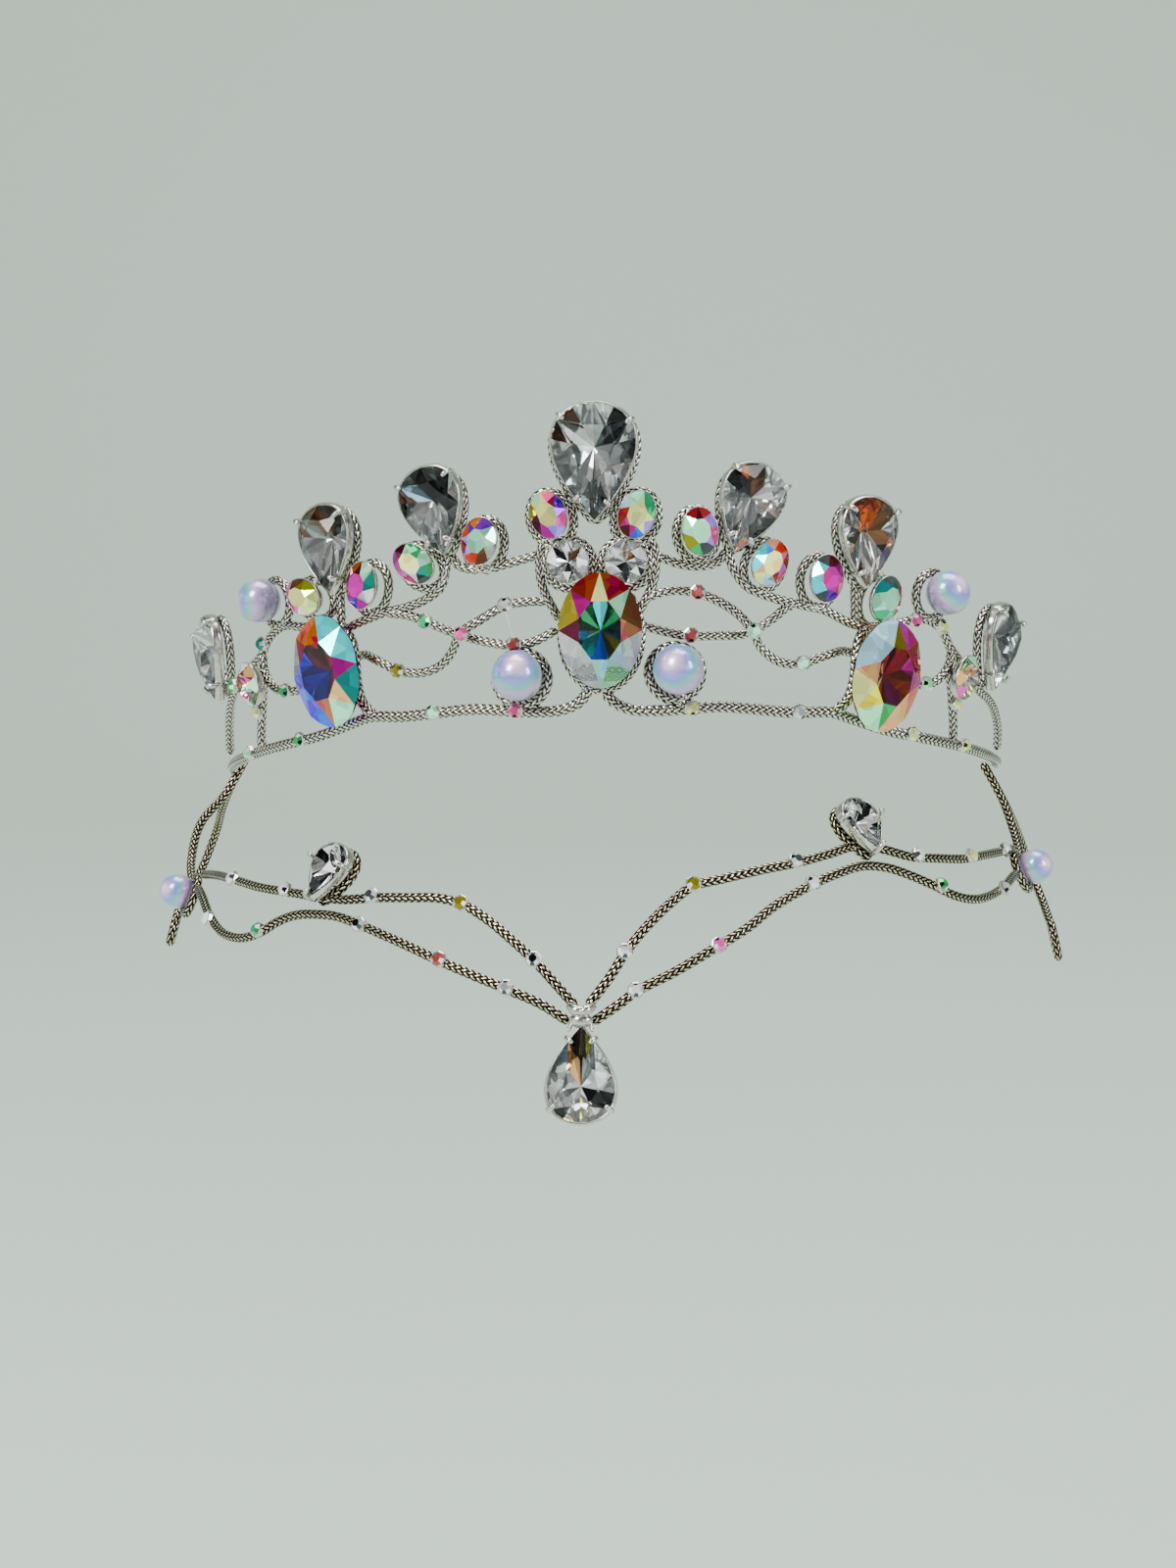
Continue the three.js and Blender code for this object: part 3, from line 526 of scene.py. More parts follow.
# Name, azimuth, height, lean and painted fires.
ACCENTS = [
    ("centre_accent_left", -5.8, 29.6, -18, "YYVVXXQQIIOOPPRR YYXMIMPR YYXMQIPR FVXMQIPR Y"),
    ("centre_accent_right", 4.8, 29.5, 18, "FFQQRRBBYYEEHHFF FFQRMYEE FFRMMYYE FJRXBQEE Y"),
    ("inner_accent_front_left", -14.5, 26.1, 12,
     "OOPPMMPPUUFFFFEE PPRMOFFE PPQQONFF OORONlFP F"),
    ("inner_accent_front_right", 12.5, 27.1, -8,
     "FFEEVVOOIIIITTRR FEVOIIJR XFFVDQIQ RFVEDIQR F"),
    ("inner_accent_back_left", -23.4, 23.4, -52,
     "XXMMIIDDTTFFEEEE XMIDTFYE XMILTFEF MIIDEFEX Y"),
    ("inner_accent_back_right", 21.6, 22.7, 20,
     "OOCCJJSSJJRRIIII OYCBJYIR OBCSJRII NCCYJIRO Y"),
    ("outer_accent_front_left", -31.3, 20.9, 14,
     "XXRRMMPPMMLLTTFF XRMPMRTF XRRMPlTF RXMPMLTF M"),
    ("outer_accent_front_right", 29.5, 20.9, 0,
     "DDCCCCDDHHIIMMXX MCCPMIMM XCCCPMIM DJCDPIMX M"),
    ("outer_accent_back_left", -41.3, 20.4, -66,
     "MMMMVVVVYYNNNNXX WIYVYYNM MMIYYYVX MIWYYVNM Y"),
    ("outer_accent_back_right", 38.8, 18.6, 14,
     "DDTTFFEEEEEEHHRR TFFEEHRR TTFFEERR DTFEFHIX F"),
    ("end_accent_left", -55.8, 8.4, -20, "SSSSIIFFFFYYWWLL SIFFYWLS ........ S.IF.FSW"),
    ("end_accent_right", 56.6, 8.4, 20, "FFSSIIFFFFYYWWLL FSIFYWLS ........ F.SI.FSW"),
]
for row in WALL_STONES:
    add_stone(*row)
for row in BROW_STONES:
    add_stone(*row, surface=brow)
for name, *rest in ACCENTS:
    add_stone(name, "accent", *rest)

# ======== the pearls
# Moulded pearls with an aurora lacquer, glued in their loops of braid: round a painted
# white-pink window highlight lie rings of lilac, blue and green lacquer colour, and the side
# away from it is a dull lilac, a painted shade.

PEARL_ROUND, PEARL_ROWS = 48, 25
POLE_GAP = 0.02


def tube_faces(rows, columns):
    """Quads of a tube of rings, and a lid at each end."""
    first = np.arange(columns)
    return grid_faces(rows, columns, False, True) + [
        first[::-1].tolist(), (first + (rows - 1) * columns).tolist()]


def ball(radius):
    """A sphere by latitude and longitude, whose poles are closed by small lids."""
    latitude = np.linspace(POLE_GAP, np.pi - POLE_GAP, PEARL_ROWS)[:, None]
    longitude = turns(PEARL_ROUND)
    points = np.dstack(np.broadcast_arrays(
        np.sin(latitude) * np.cos(longitude), -np.sin(latitude) * np.sin(longitude),
        np.cos(latitude)))
    return radius * points.reshape(-1, 3), tube_faces(PEARL_ROWS, PEARL_ROUND)


# Lacquer over nacre-white plastic: a clear deep gloss on a soft metallic glow, in lacquer
# colours with a painted highlight and a painted shade.
pearl, pearl_tree, pearl_shader = new_material("aurora-lacquered pearl")
set_inputs(pearl_shader, {
    "Base Color": add_node(pearl_tree, "ShaderNodeAttribute",
                           attribute_name="film_highlight_and_shade").outputs["Color"],
    "Roughness": 0.28, "Metallic": 0.25, "Coat Weight": 1.0, "Coat Roughness": 0.03,
    "Coat IOR": 1.8})

# The axis points to a painted window highlight; the first colour is that highlight, the last a
# painted shade.
HIGHLIGHT_AXIS = np.array([-0.34, 0.4, 0.85])
FILM_REACH = 1.75
FILM_STOPS = (0, 0.16, 0.32, 0.46, 0.6, 0.76, 1)
FILM_HIGHLIGHT_AND_SHADE_COLOURS = ("#FFF6FA", "#EBC9EE", "#9C92DC", "#6F94E0", "#6CC4B8", "#C7A4DA", "#8E84A8")


def film_highlight_and_shade_on(directions, spin):
    """Colours by the angle between a direction and the highlight axis, which each pearl turns
    about z by its spin: a painted white-pink highlight at the axis, then rings of one lacquer
    colour after another, as the lacquer thickens, and a painted shade of dull lilac farthest
    away."""
    spin = np.radians(spin)
    turned = np.array([[np.cos(spin), -np.sin(spin), 0], [np.sin(spin), np.cos(spin), 0],
                       [0, 0, 1]]) @ HIGHLIGHT_AXIS
    away = np.arccos(np.clip(directions @ turned, -1, 1)) / FILM_REACH
    stops = np.array([linear(colour) for colour in FILM_HIGHLIGHT_AND_SHADE_COLOURS])
    return np.stack([np.interp(away, FILM_STOPS, column) for column in stops.T], axis=1)


# Name, cut of the loop behind it, surface, azimuth, height, radius and spin.
PEARLS = [
    ("rim_pearl_left", "pearl", wall, -10.1, 5.2, 4, -60),
    ("rim_pearl_right", "pearl", wall, 10.5, 5.9, 4, 10),
    ("crest_pearl_left", "crestPearl", wall, -50, 21.1, 3.6, 40),
    ("crest_pearl_right", "crestPearl", wall, 49.2, 20.9, 3.6, -30),
    ("temple_pearl_left", "templePearl", brow, -71.2, 3, 2.9, -130),
    ("temple_pearl_right", "templePearl", brow, 76, 7, 2.9, 50),
]
for name, cut, surface, azimuth, height, radius, spin in PEARLS:
    place = dict(azimuth=azimuth, height=height, lift=CUTS[cut]["lift"])
    SEATED[name] = cut, surface, place
    points, faces = ball(radius)
    mesh = add_piece(f"{name}_bead", seated(points, *seat(surface, **place)), faces, [pearl],
                     "pearl", name)
    film_highlight_and_shade = mesh.color_attributes.new("film_highlight_and_shade", "FLOAT_COLOR", "POINT")
    film_highlight_and_shade.data.foreach_set("color", film_highlight_and_shade_on(points / radius, spin).ravel())

# ======== the braided cord
# Round tubular braid of metallic yarn, 1.6 mm thick and 1.9 mm along the rim, drawn over a
# brass wire that holds every bend. It is looped behind each stone and stitched to its fellows.

CORD_RADIUS, RIM_CORD_RADIUS = 0.78, 0.95
CORD_ROUND = 32
CARRIERS = 8
GRAIN_PITCH = 1.14
STEPS_A_GRAIN = 6
YARN_HALF = 0.4
YARN_RELIEF = 0.36
CROSSING = 0.55
CROSSING_SLOPE = 1.5
BRAID_FLOOR = 0.2


def braid(turn, along):
    """Height of the braid from 0 to 1 over the turn round the cord and the length along it.
    Two families of eight yarns wind both ways, two over and two under, which makes the
    herringbone: each yarn is round across its own count, and lies high or low in waves of
    four of the other's. The higher of the two shows."""
    around = CARRIERS * turn / (2 * np.pi)
    left, right = around + along / GRAIN_PITCH, around - along / GRAIN_PITCH

    def family(own, other, phase):
        count = np.round(own)
        profile = np.sqrt(np.clip(1 - ((own - count) / YARN_HALF) ** 2, 0, 1))
        over = np.clip(CROSSING_SLOPE * np.cos(np.pi / 2 * (other + count - phase)), -1, 1)
        return profile + CROSSING * over

    height = np.maximum(family(left, right, 0.5), family(right, left, 2.5))
    return np.clip((height - BRAID_FLOOR) / (1 - BRAID_FLOOR + CROSSING), 0, 1)


LINE_STEPS = 24


def smooth_line(knots):
    """Centripetal Catmull-Rom curve: between two knots a cubic whose end slopes weigh the
    neighbouring chords by the square roots of their lengths."""
    ends = np.concatenate([[2 * knots[0] - knots[1]], knots, [2 * knots[-1] - knots[-2]]])
    gaps = np.maximum(np.linalg.norm(np.diff(ends[:, :3], axis=0), axis=1) ** 0.5, 1e-6)
    before, start, end, after = (ends[i:len(ends) - 3 + i, None] for i in range(4))
    gap_before, gap, gap_after = (gaps[i:len(gaps) - 2 + i, None, None] for i in range(3))
    chord = end - start
    slope_start = gap * ((start - before) / gap_before - (end - before) / (gap_before + gap)
                         + chord / gap)
    slope_end = gap * (chord / gap - (after - start) / (gap + gap_after)
                       + (after - end) / gap_after)
    u = np.linspace(0, 1, LINE_STEPS, endpoint=False)[None, :, None]
    line = (start + slope_start * u + (3 * chord - 2 * slope_start - slope_end) * u ** 2
            + (slope_start + slope_end - 2 * chord) * u ** 3)
    return np.concatenate([line.reshape(-1, ends.shape[1]), ends[-2:-1]])


def even_steps(line, count, closed=False):
    """The line's points at equal steps of its length, and that length."""
    if closed:
        line = np.concatenate([line, line[:1]])
    steps = np.linalg.norm(np.diff(line[:, :3], axis=0), axis=1)
    length = np.hstack([0, np.cumsum(steps)])
    at = np.linspace(0, length[-1], count, endpoint=not closed)
    return np.stack([np.interp(at, length, column) for column in line.T], axis=1), length[-1]


def rings(centre, tangent, out, reach):
    """Rings round a line: the cosine of the turn out of the surface and its sine beside it,
    both square to the line, by the reach of that row and turn."""
    tangent = unit(tangent)
    out = unit(out - tangent * (out * tangent).sum(axis=1, keepdims=True))
    beside = np.cross(tangent, out)
    turn = turns(reach.shape[1])[:, None]
    direction = np.cos(turn) * out[:, None] + np.sin(turn) * beside[:, None]
    return (centre[:, None] + direction * reach[..., None]).reshape(-1, 3)


def sweep_braid(line, closed, radius):
    """A braided tube along a line whose rows hold a point and a point straight out of the
    surface from it. Gives points, faces, and the height of each point. Ends are rounded."""
    rough = np.linalg.norm(np.diff(line[:, :3], axis=0), axis=1).sum()
    grains = max(2, round(rough / (GRAIN_PITCH * MM)))
    count = grains * STEPS_A_GRAIN + (0 if closed else 1)
    rows, length = even_steps(line, count, closed)
    centre, out = rows[:, :3], rows[:, 3:] - rows[:, :3]
    along = np.arange(count)[:, None] / STEPS_A_GRAIN * GRAIN_PITCH
    height = braid(turns(CORD_ROUND), along)
    reach = radius * (1 - YARN_RELIEF * (1 - height))
    if closed:
        tangent = np.roll(centre, -1, axis=0) - np.roll(centre, 1, axis=0)
        faces = grid_faces(count, CORD_ROUND, True, True)
    else:
        tangent = np.gradient(centre, axis=0)
        faces = tube_faces(count, CORD_ROUND)
        from_end = np.minimum(np.arange(count), np.arange(count)[::-1]) * length / count / MM
        closing = np.clip((radius - from_end) / radius, 0, 0.995)
        reach = reach * np.sqrt(1 - closing ** 2)[:, None]
    return rings(centre, tangent, out, reach * MM), faces, height.ravel()


def strand_line(surface, rows, usual_lift):
    """Through a route's rows of azimuth, height and, where it is not the usual one, lift: the
    middle line, and the same line a millimetre further out."""
    azimuth, height, lift = np.array([(*row, usual_lift)[:3] for row in rows], float).T
    return smooth_line(np.hstack([surface(azimuth, height, lift + more) for more in (0, 1)]))


LOOP_POINTS = 240
LOOP_SOFTENING = 7


def loop_line(surface, cut, grow, **place):
    """Round behind a stone: its outline grown by a little, softened at a pear's tip by a
    running mean, and a second line above it in the stone's own axes."""
    flat, _ = even_steps(outline(CUTS[cut], turns(LOOP_POINTS), grow=grow), LOOP_POINTS, True)
    spread = np.arange(-LOOP_SOFTENING, LOOP_SOFTENING + 1)
    flat = np.mean([np.roll(flat, shift, axis=0) for shift in spread], axis=0)
    return np.hstack([seated(at_level(flat, level), *seat(surface, **place))
                      for level in (0, 1)])


def loop_behind(name, grow, lift=0):
    """The loop of cord behind a stone or pearl."""
    cut, surface, place = SEATED[name]
    return loop_line(surface, cut, grow, **(place | dict(lift=lift)))


def joined(parts):
    """Points and faces of several meshes as one."""
    faces, base = [], 0
    for points, part_faces in parts:
        faces += [[corner + base for corner in face] for face in part_faces]
        base += len(points)
    return np.concatenate([points for points, _ in parts]), faces


def metallic_yarn(name, bright, warm, gap, gap_shade_end, grain_start):
    """Lurex yarn: flat metallised ribbon wound on a core, so each grain is a small mirror; where
    the relief falls to the gap between two grains its colour turns to the dark gap colour, a
    painted shade. Flecks of about 1.4 mm vary its colour and gloss."""
    made, tree, shader = new_material(name)
    ribbon, flecks = mottled(tree, bright, warm, 700.0)
    relief = add_node(tree, "ShaderNodeAttribute", attribute_name="relief").outputs["Fac"]
    # Painted shade: the low relief between the grains takes the dark gap colour.
    out_of_gap_shade = add_node(tree, "ShaderNodeValToRGB", {"Fac": relief}, [
        (gap_shade_end, (0, 0, 0, 1)), (grain_start, (1, 1, 1, 1))]).outputs["Color"]
    tone = add_node(tree, "ShaderNodeMix", {
        FACTOR: out_of_gap_shade, FIRST: linear(gap), SECOND: ribbon}, data_type="RGBA").outputs[MIXED]
    gloss = add_node(tree, "ShaderNodeMapRange", {
        "Value": flecks, "To Min": 0.1, "To Max": 0.28}).outputs["Result"]
    set_inputs(shader, {"Base Color": tone, "Roughness": gloss, "Metallic": 1.0})
    return made


# The yarn and the usual lift of the cords on each surface. The brow's braid is the same silver
# braid painted in a warm champagne light, with a darker painted shade in its gaps.
LAID = {wall: (metallic_yarn("silver lurex braid", "#FFFEF8", "#DAD3BF", "#3F3A2D",
                             0.6, 0.83), 0),
        brow: (metallic_yarn("silver lurex braid in painted warm light", "#FFF8DE", "#CDBD92", "#1A1309",
                             0.72, 0.92), CORD_RADIUS)}


def add_cord(name, surface, strands, loops=(), radius=CORD_RADIUS):
    """Joins strands and loops of cord in one piece, which stands for the solid of its name."""
    yarn, lift = LAID[surface]
    swept = [sweep_braid(strand_line(surface, rows, lift), False, radius) for rows in strands]
    swept += [sweep_braid(line, True, radius) for line in loops]
    mesh = add_piece(f"{name}_braid", *joined([part[:2] for part in swept]), [yarn], "cord",
                     name)
    relief = mesh.attributes.new("relief", "FLOAT", "POINT")
    relief.data.foreach_set("value", np.concatenate([height for *_, height in swept]))


def on_side(side, rows):
    """A route that both sides share: side is -1 left, 1 right."""
    return [(side * azimuth, *rest) for azimuth, *rest in rows]


CENTRE_SIDE = [(6.4, 27), (7.3, 24.4), (7.4, 21.4), (6.9, 18.6), (5.9, 16.2), (4.9, 14)]
CENTRE_LOOPS = {"centre_teardrop": 0.1, "centre_oval": -0.3, "round_crystal_left": 0.6,
                "round_crystal_right": 0.6, "centre_accent_left": 0.6,
                "centre_accent_right": 0.6}
add_cord("centre_frame_cord", wall, [on_side(-1, CENTRE_SIDE), on_side(1, CENTRE_SIDE)],
         [loop_behind(name, grow) for name, grow in CENTRE_LOOPS.items()])

RIM = [
    (1.25, 4.2), (1.3, 2.8), (2.5, 1.2), (4.8, 0.2), (8, 0), (12, 0.3), (17, 0.8), (22, 0.6),
    (28, 0.4), (33.5, 0.8), (38, 0.1, -0.6), (44, -1.1, -0.3), (52, -1.6), (62, -1.8),
    (72, -1.8), (82, -1.6), (90, -1.2)]
OVAL_EDGE = {
    "left": [(-32.8, 0.9), (-34.4, 3, 0.4), (-34.9, 6, 0.7), (-34.9, 9.5, 0.7),
             (-35.3, 12.6, 0.4), (-36.6, 15)],
    "right": [(34.2, 0.8), (36, 3, 0.4), (36.5, 6, 0.7), (36.4, 9.5, 0.7),
              (36.8, 12.4, 0.4), (38, 14.6)]}
PEARL_STEM = [(11.4, 3.4), (12, 0.4)]
CREST = {
    "left": [
        [(-7.4, 24.2), (-11.5, 23), (-14.6, 22.3), (-18, 23), (-19.6, 25.4)],
        [(-19.6, 25.4), (-20.1, 22.6), (-20.9, 20), (-23, 18.4), (-26, 17.4), (-29.5, 16.9),
         (-33.2, 16), (-37, 15.1), (-41, 15.7), (-45.5, 16.6), (-49, 17.2), (-52.6, 16),
         (-55.6, 13.6), (-59.5, 12), (-64, 10.6), (-68, 9.2), (-71.2, 7.6), (-75, 5),
         (-79, 2), (-80.8, 0.6)],
        [(-36.8, 21.4), (-37, 18.4), (-37.2, 14.8)],
        [(-50.4, 17.6), (-50.2, 16.6)]],
    "right": [
        [(7.4, 24), (10.1, 22.7), (12.9, 22.3), (15.4, 23), (16.6, 25)],
        [(16.6, 25), (17.6, 22), (19.6, 19.4), (22, 18.3), (26.6, 17.2), (31, 16.5),
         (34.9, 15), (38.2, 14.6), (41.5, 15.2), (45.5, 16.4), (49, 17), (52.4, 15.8),
         (55, 13.4), (58, 11.6), (61.6, 9.8), (65.4, 7.8), (69.4, 7), (74, 5.6),
         (79, 3), (82, 0.2)],
        [(35.2, 21), (35.6, 18), (36, 14.8)],
        [(49.2, 17.6), (49.2, 16.6)]]}
CREST_LOOPS = {
    "inner_teardrop": -0.2, "outer_teardrop": -0.2, "end_teardrop": -0.2,
    "inner_accent_front": 0.35, "inner_accent_back": 0.35, "outer_accent_front": 0.35,
    "outer_accent_back": 0.35, "crest_pearl": 0.2}
UPPER_VINE = {
    "left": [(-6.3, 16.9), (-8.9, 17), (-11.9, 16.6), (-15.6, 14.4, 0.4), (-18.1, 12.4, 1.3),
             (-19.6, 9.9, 0.4), (-21.6, 7.9), (-24.4, 7), (-27.8, 7.5), (-31.6, 9.6),
             (-35.4, 11, -1.8), (-40, 8.8, -1.7), (-44, 7, -0.8), (-48, 6.6), (-51.6, 7),
             (-54.2, 8.6), (-55.6, 11), (-55.4, 13.6)],
    "right": [(6.4, 17.4), (9.3, 18.4), (12.9, 18.2), (16.2, 16.8), (18.8, 14.8, 0.4),
              (20.4, 12.4, 1.3), (21.9, 10.2, 0.4), (24.7, 8.2), (28.1, 8), (32, 9.6),
              (36.4, 10.8, -1.8), (40.6, 8.8, -1.7), (44.4, 7, -0.8), (48, 6.6), (51.6, 7),
              (54.2, 8.6), (55.6, 11), (55.2, 13.4)]}
STRUT = [(55.3, 10.4), (56.8, 7.4), (58, 4.4), (59.2, 1.2), (60, -1.8)]
LOWER_VINE = {
    "left": [(-5.2, 12.6), (-8, 11), (-10.9, 10.4), (-15, 11.2, -0.5), (-18.1, 12.3, -1.2),
             (-20.2, 13.2, -0.6), (-23.2, 14.8), (-26.4, 16.2), (-29.4, 16.8)],
    "right": [(5.6, 13.2), (9, 12.2), (12.3, 11.6), (16, 11.8, -0.5), (19.4, 12.2, -1.2),
              (21.4, 13, -0.8), (23.6, 14.8), (25.4, 16.6), (26.8, 17.2)]}

for hand, side in (("left", -1), ("right", 1)):
    add_cord(f"crest_cord_{hand}", wall, CREST[hand],
             [loop_behind(f"{stem}_{hand}", grow) for stem, grow in CREST_LOOPS.items()])
    add_cord(f"rim_cord_{hand}", wall,
             [on_side(side, RIM), OVAL_EDGE[hand], on_side(side, PEARL_STEM)],
             [loop_behind(f"rim_pearl_{hand}", 0.2)], RIM_CORD_RADIUS)
    add_cord(f"upper_vine_{hand}", wall, [UPPER_VINE[hand], on_side(side, STRUT)])
    add_cord(f"lower_vine_{hand}", wall, [LOWER_VINE[hand]])

TEMPLE_LINK = {
    "left": [[(-86.5, 21.5, 1.6), (-85, 16, 1.2), (-82, 11, 2.6), (-77.6, 6.4, 1.8),
              (-73.4, 4.2)],
             [(-85.6, 18, 1.3), (-91, 12), (-95.5, 6), (-95, 0), (-90, -3), (-85, -4.6)]],
    "right": [[(87.5, 21.5, 1.6), (86, 16, 1.2), (83.4, 12), (80, 9.4), (78, 8.2)],
              [(86.6, 18, 1.3), (92, 13), (97, 6), (98, 0), (95, -4.4), (91, -7.2)]]}
HAIRPIN_LOOP = {"left": dict(azimuth=-83.4, height=-6.4, lean=-40),
                "right": dict(azimuth=90.4, height=-9.6, lean=14)}
FRONTLET_UPPER = {
    "left": [(-0.6, 0.8), (-3.1, 3.8), (-5.7, 6.7), (-8.9, 9.5), (-12.1, 11.8), (-15.5, 13.5),
             (-19, 14.1), (-23.4, 13.7), (-28.5, 13), (-33.2, 12), (-37.4, 11.6),
             (-42.6, 11.2), (-49.6, 10.4), (-56.4, 9.8), (-63, 8.8), (-69, 7.2)],
    "right": [(0.6, 0.9), (3.2, 4.9), (5.1, 8.2), (7.9, 11.7), (11.3, 14.8), (13.8, 16.4),
              (18.2, 17.2), (23.6, 17.9), (28.9, 18.3), (34, 18.8), (38.6, 19.2), (43, 18.2),
              (48, 16.2), (53, 15), (59, 13.6), (65, 12.7), (71.4, 11.6), (76.6, 10.6)]}
FRONTLET_LOWER = {
    "left": [(-1.4, -1.2), (-4.9, 1.2), (-8.7, 2.8), (-12.5, 4.2), (-17.3, 5.8), (-23, 7.6),
             (-29, 9), (-33.4, 9.6), (-37.4, 9.2), (-40.6, 8.4), (-43.4, 6.9), (-46, 4.8),
             (-49.4, 3), (-54.4, 2.2), (-60, 3.2), (-65, 4.6), (-69, 5)],
    "right": [(1.15, -1.25), (4.2, 1.2), (6.2, 2.9), (10.7, 5.3), (16.2, 8.4), (20.4, 10.6),
              (24.1, 12.9), (29.9, 15.1), (34.4, 16.1), (38.8, 16.5), (42.6, 15.7),
              (46.2, 14), (50.2, 11.6), (53.6, 9.4), (57.6, 7.9), (62, 7.3), (67, 7.3),
              (71.5, 7.6), (73.5, 7.5)]}

for hand in ("left", "right"):
    add_cord(f"temple_link_{hand}", brow, TEMPLE_LINK[hand],
             [loop_behind(f"temple_pearl_{hand}", 0.2, CORD_RADIUS),
              loop_line(brow, "hairpin", -0.2, lift=CORD_RADIUS, **HAIRPIN_LOOP[hand])])
    add_cord(f"frontlet_upper_{hand}", brow, [FRONTLET_UPPER[hand]],
             [loop_behind(f"brow_stone_{hand}", -0.1, CORD_RADIUS)])
    add_cord(f"frontlet_lower_{hand}", brow, [FRONTLET_LOWER[hand]])

# ======== the settings
# Claw settings are stamped from thin rhodium-plated brass: a slim band round the girdle with
# four claws folded over the crown. Small stones sit in plain shallow cups of the same sheet.

BAND_ROUND = 64
BAND_PROFILE = [(0.03, 0.0), (0.12, 0.12), (0.26, 0.06), (0.34, -0.2), (0.46, -0.8),
                (0.42, -1.5), (0.3, -1.56), (0.2, -1.45), (0.16, -0.8), (0.1, -0.3)]
CUP_PROFILE = [(0.02, 0.06), (0.08, 0.1), (0.15, 0.04), (0.17, -0.15), (0.04, -0.7),
               (-0.5, -1.6), (-0.7, -1.7), (-0.8, -1.55), (-0.3, -0.9), (0.0, -0.3)]
CLAW_ROUND = 10
CLAW_PATH = [(0.4, -1.3, 0.3), (0.52, -0.5, 0.36), (0.58, 0.2, 0.38), (0.5, 0.7, 0.4),
             (0.2, 1.1, 0.42), (-0.2, 1.32, 0.42), (-0.5, 1.42, 0.36), (-0.7, 1.4, 0.22),
             (-0.76, 1.36, 0.03)]
CLAW_NEAR = 0.02


def band_round(cut, profile):
    """A closed profile of outward growth and level carried round the outline."""
    rows = [at_level(outline(cut, turns(BAND_ROUND), grow=grow), level)
            for grow, level in profile]
    return np.concatenate(rows), grid_faces(len(profile), BAND_ROUND, True, True)


def claw_at(cut, turn):
    """A round wire that stands on the band and folds over the crown: circles across a path of
    outward growth and level, with a radius that ends in a point of almost nothing."""
    path = np.array(CLAW_PATH)
    before, foot, after = outline(cut, turn + CLAW_NEAR * np.array([-1, 0, 1]))
    along = unit(after - before)
    outwards = np.array([along[1], -along[0]])
    fold = unit(np.gradient(path[:, :2], axis=0))
    across = path[:, None, 2] * np.cos(turns(CLAW_ROUND))
    thick = path[:, None, 2] * np.sin(turns(CLAW_ROUND))
    grow = path[:, None, 0] - thick * fold[:, None, 1]
    level = path[:, None, 1] + thick * fold[:, None, 0]
    flat = foot + outwards * grow[..., None] + along * across[..., None]
    return np.dstack([flat, level]).reshape(-1, 3), tube_faces(len(path), CLAW_ROUND)


# Rhodium plate over stamped brass: a bright cool metal with burnishing marks of about 1 mm.
plate, plate_tree, plate_shader = new_material("rhodium-plated brass")
plate_tone, plate_wear = mottled(plate_tree, "#EFEEEA", "#9C988C", 900.0, 3.0)
plate_gloss = add_node(plate_tree, "ShaderNodeMapRange", {
    "Value": plate_wear, "To Min": 0.08, "To Max": 0.3}).outputs["Result"]
set_inputs(plate_shader, {"Base Color": plate_tone, "Roughness": plate_gloss,
                          "Metallic": 1.0})

CLAW_SHARES = {"largePear": (0.11, 0.36, 0.62, 0.87), "pear": (0.125, 0.375, 0.625, 0.875),
               "drop": (0.125, 0.375, 0.625, 0.875), "browPear": (0.2, 0.48, 0.8)}
for name, (cut, surface, place) in SEATED.items():
    axes, origin = seat(surface, **place)
    if cut in CLAW_SHARES:
        points, faces = joined([band_round(CUTS[cut], BAND_PROFILE)] + [
            claw_at(CUTS[cut], 2 * np.pi * share) for share in CLAW_SHARES[cut]])
        add_piece(f"{name}_claws", seated(points, axes, origin), faces, [plate], "setting",
                  f"{name}_setting")
    elif cut in ("round", "accent"):
        points, faces = band_round(CUTS[cut], CUP_PROFILE)
        add_piece(f"{name}_cup", seated(points, axes, origin), faces, [plate], "setting")

# ======== the binding over the drop
# A turn of bright silver wire gathers the four cords of the frontlet, and the drop's round cap
# hangs under it on two prongs.

BINDING = dict(azimuth=0, height=0.78, lift=2.1)
WIRE_ROUND = 12
WIRE_HALF = [(0, -0.88, 1.55, 0.66), (0.4, -1.0, 1.55, 0.8), (0.9, -0.8, 1.4, 0.8),
             (1.55, -0.3, 0.9, 0.62), (1.85, 0.1, 0.2, 0.42)]
CAP_SIZE = (1.75, 1.2, 1.2)
CAP_MIDDLE = (0, -2.25, 0.6)
PRONG_PATH = [(1.35, -2.5, 0.3, 0.36), (1.5, -3.1, 0.7, 0.34), (1.7, -3.7, 1.1, 0.28),
              (1.8, -4.0, 1.2, 0.16)]


def wire_along(rows):
    """Circles across a path of x, y, z and radius, closed at both ends."""
    rows = smooth_line(np.array(rows, float))
    reach = np.repeat(rows[:, 3:], WIRE_ROUND, axis=1)
    points = rings(rows[:, :3], np.gradient(rows[:, :3], axis=0), np.array([0, 0, 1.0]), reach)
    return points, tube_faces(len(rows), WIRE_ROUND)


cap_points, cap_faces = ball(1.0)
points, faces = joined([
    wire_along(on_side(-1, WIRE_HALF)[:0:-1] + WIRE_HALF),
    (cap_points * CAP_SIZE + CAP_MIDDLE, cap_faces),
    wire_along(on_side(-1, PRONG_PATH)), wire_along(PRONG_PATH)])
add_piece("binding_wire", seated(points, *seat(brow, **BINDING)), faces, [plate], "setting",
          "forehead_binding")

# ======== the small crystals
# Flat-backed crystals of 2.6 mm in every colour of the large stones, each in a thin silvered
# rim, glued to the front of the cords by hand. A clear nylon thread is tied between two.

CRYSTAL_SIDES = 8
CRYSTAL_RADII = (1.3, 1.3, 1.12, 0.64)
CRYSTAL_LEVELS = (-0.15, 0.4, 0.5, 1.05)
CRYSTAL_RIM_FACES = 2 * CRYSTAL_SIDES
CRYSTAL_SUNK = 0.1
LEAN_STEP, CROWN_STEP = 17, 3


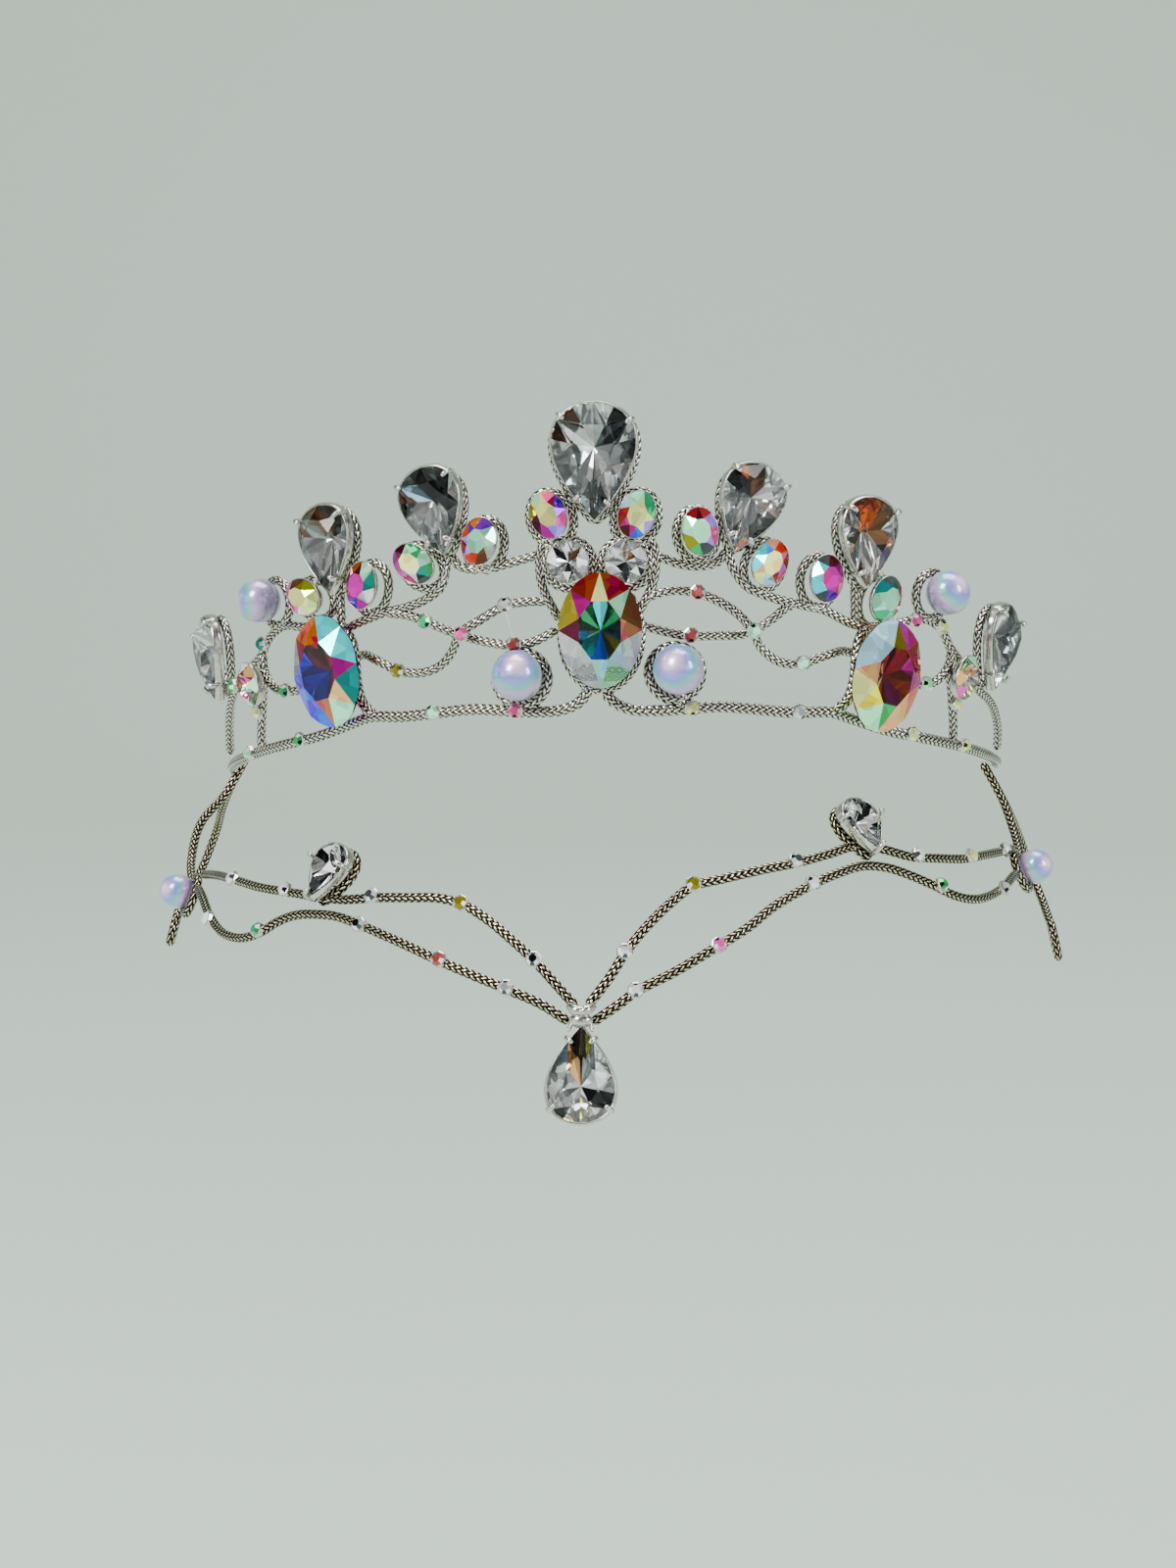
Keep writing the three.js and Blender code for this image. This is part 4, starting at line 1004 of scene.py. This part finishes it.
def crystal():
    """Rings of an eight-sided dome: foot, rim, girdle and table, closed at both ends."""
    angle = turns(CRYSTAL_SIDES, 0.5)
    radii, levels = np.array(CRYSTAL_RADII)[:, None], np.array(CRYSTAL_LEVELS)[:, None]
    points = np.dstack(np.broadcast_arrays(radii * np.cos(angle), radii * np.sin(angle), levels))
    return points.reshape(-1, 3), tube_faces(len(radii), CRYSTAL_SIDES)


def crystal_colours(letter, roll):
    """Fires of one crystal's faces: rim, crown, foot, table. The crown's white and pale facets
    are painted glints, its dark ones painted reflections of a dark room. Its crown's row is
    rolled round.
    """
    crown = "WKLWWDWL" if letter in "WLGDK" else "{0}{0}W{0}{0}K{0}L".format(letter)
    roll %= CRYSTAL_SIDES
    return letters_to_colours("." * CRYSTAL_RIM_FACES + crown[roll:] + crown[:roll] + "."
                              + letter)


def add_crystals(name, surface, radius, rows):
    """All the crystals of one cord, joined in a piece. Rows: azimuth, height, fire, lift."""
    points, faces = crystal()
    parts, colours = [], []
    for index, (azimuth, height, fire, *lift) in enumerate(rows):
        place = seat(surface, azimuth, height, sum(lift) + radius - CRYSTAL_SUNK,
                     lean=LEAN_STEP * index)
        parts.append((seated(points, *place), faces))
        colours.append(crystal_colours(fire, CROWN_STEP * index))
    mesh = add_piece(f"{name}_crystals", *joined(parts), [glass, plate], "aurora_glass",
                     smooth=False)
    is_silvered = [1] * CRYSTAL_RIM_FACES + [0] * CRYSTAL_SIDES + [1, 0]
    mesh.polygons.foreach_set("material_index", is_silvered * len(rows))
    paint_facets(mesh, np.concatenate(colours))


WALL_CRYSTALS = {
    "crest_left": [(-54, 15, "T"), (-66, 9.9, "E")],
    "crest_right": [(46, 16.5, "I"), (51.6, 16.2, "Y")],
    "upper_vine_left": [(-11.9, 16.6, "W"), (-27.8, 7.5, "V"), (-49.5, 6.7, "E"),
                        (-58, 4.4, "Y")],
    "upper_vine_right": [(12.9, 18.2, "H"), (20.4, 12.4, "F", 1.3), (28.1, 8, "F"),
                         (50, 6.8, "F"), (58, 4.4, "Y")],
    "lower_vine_left": [(-10.9, 10.4, "H"), (-17.6, 12.2, "I", 1.3), (-23.2, 14.8, "E")],
    "lower_vine_right": [(12.3, 11.6, "H")],
}
RIM_CRYSTALS = {
    "rim_left": [(-10.9, 0.2, "I"), (-22.7, 0.6, "F"), (-47.5, -1.4, "E", -0.2),
                 (-62.6, -1.8, "F")],
    "rim_right": [(12.9, 0.4, "Y"), (28.2, 0.4, "G"), (48.6, -1.4, "Y", -0.2),
                  (62, -1.8, "Y")],
}
BROW_CRYSTALS = {
    "frontlet_upper_left": [(-5.8, 6.8, "K"), (-15.8, 13.5, "V"), (-28.5, 13, "D"),
                            (-43.4, 11.2, "W"), (-56.2, 9.8, "W")],
    "frontlet_upper_right": [(4.9, 8, "W"), (13.8, 16.4, "V"), (28.4, 18.3, "D"),
                             (48.6, 16, "W"), (60, 13.5, "Y"), (70.8, 11.7, "W")],
    "frontlet_lower_left": [(-8.8, 2.9, "K"), (-17.4, 5.9, "H"), (-29.2, 9, "K"),
                            (-46, 4.8, "E"), (-59, 3, "W")],
    "frontlet_lower_right": [(6.1, 2.9, "W"), (16.2, 8.4, "I"), (30, 15.2, "W"),
                             (50.8, 11.3, "E"), (65, 7.3, "W")],
}
for surface, radius, table in ((wall, CORD_RADIUS, WALL_CRYSTALS),
                               (wall, RIM_CORD_RADIUS, RIM_CRYSTALS),
                               (brow, 2 * CORD_RADIUS, BROW_CRYSTALS)):
    for name, rows in table.items():
        add_crystals(name, surface, radius, rows)

# Clear nylon thread, 0.3 mm thick, with a soft gloss and a faint clouding along its length.
nylon, nylon_tree, nylon_shader = new_material("clear nylon thread")
nylon_tone, _ = mottled(nylon_tree, "#F4F6F4", "#C9CFCB", 1500.0)
set_inputs(nylon_shader, {"Base Color": nylon_tone, "Roughness": 0.2,
                          "Transmission Weight": 0.2})

THREAD = [(-11.9, 16, 0.9), (-11.6, 14.6, 1.2), (-11.2, 12.8, 1.1), (-10.9, 11.2, 0.9)]
THREAD_RADIUS = 0.16
points, faces = wire_along(np.column_stack([wall(*np.array(THREAD).T) / MM,
                                            np.full(len(THREAD), THREAD_RADIUS)]))
add_piece("nylon_thread", points * MM, faces, [nylon], "cord")
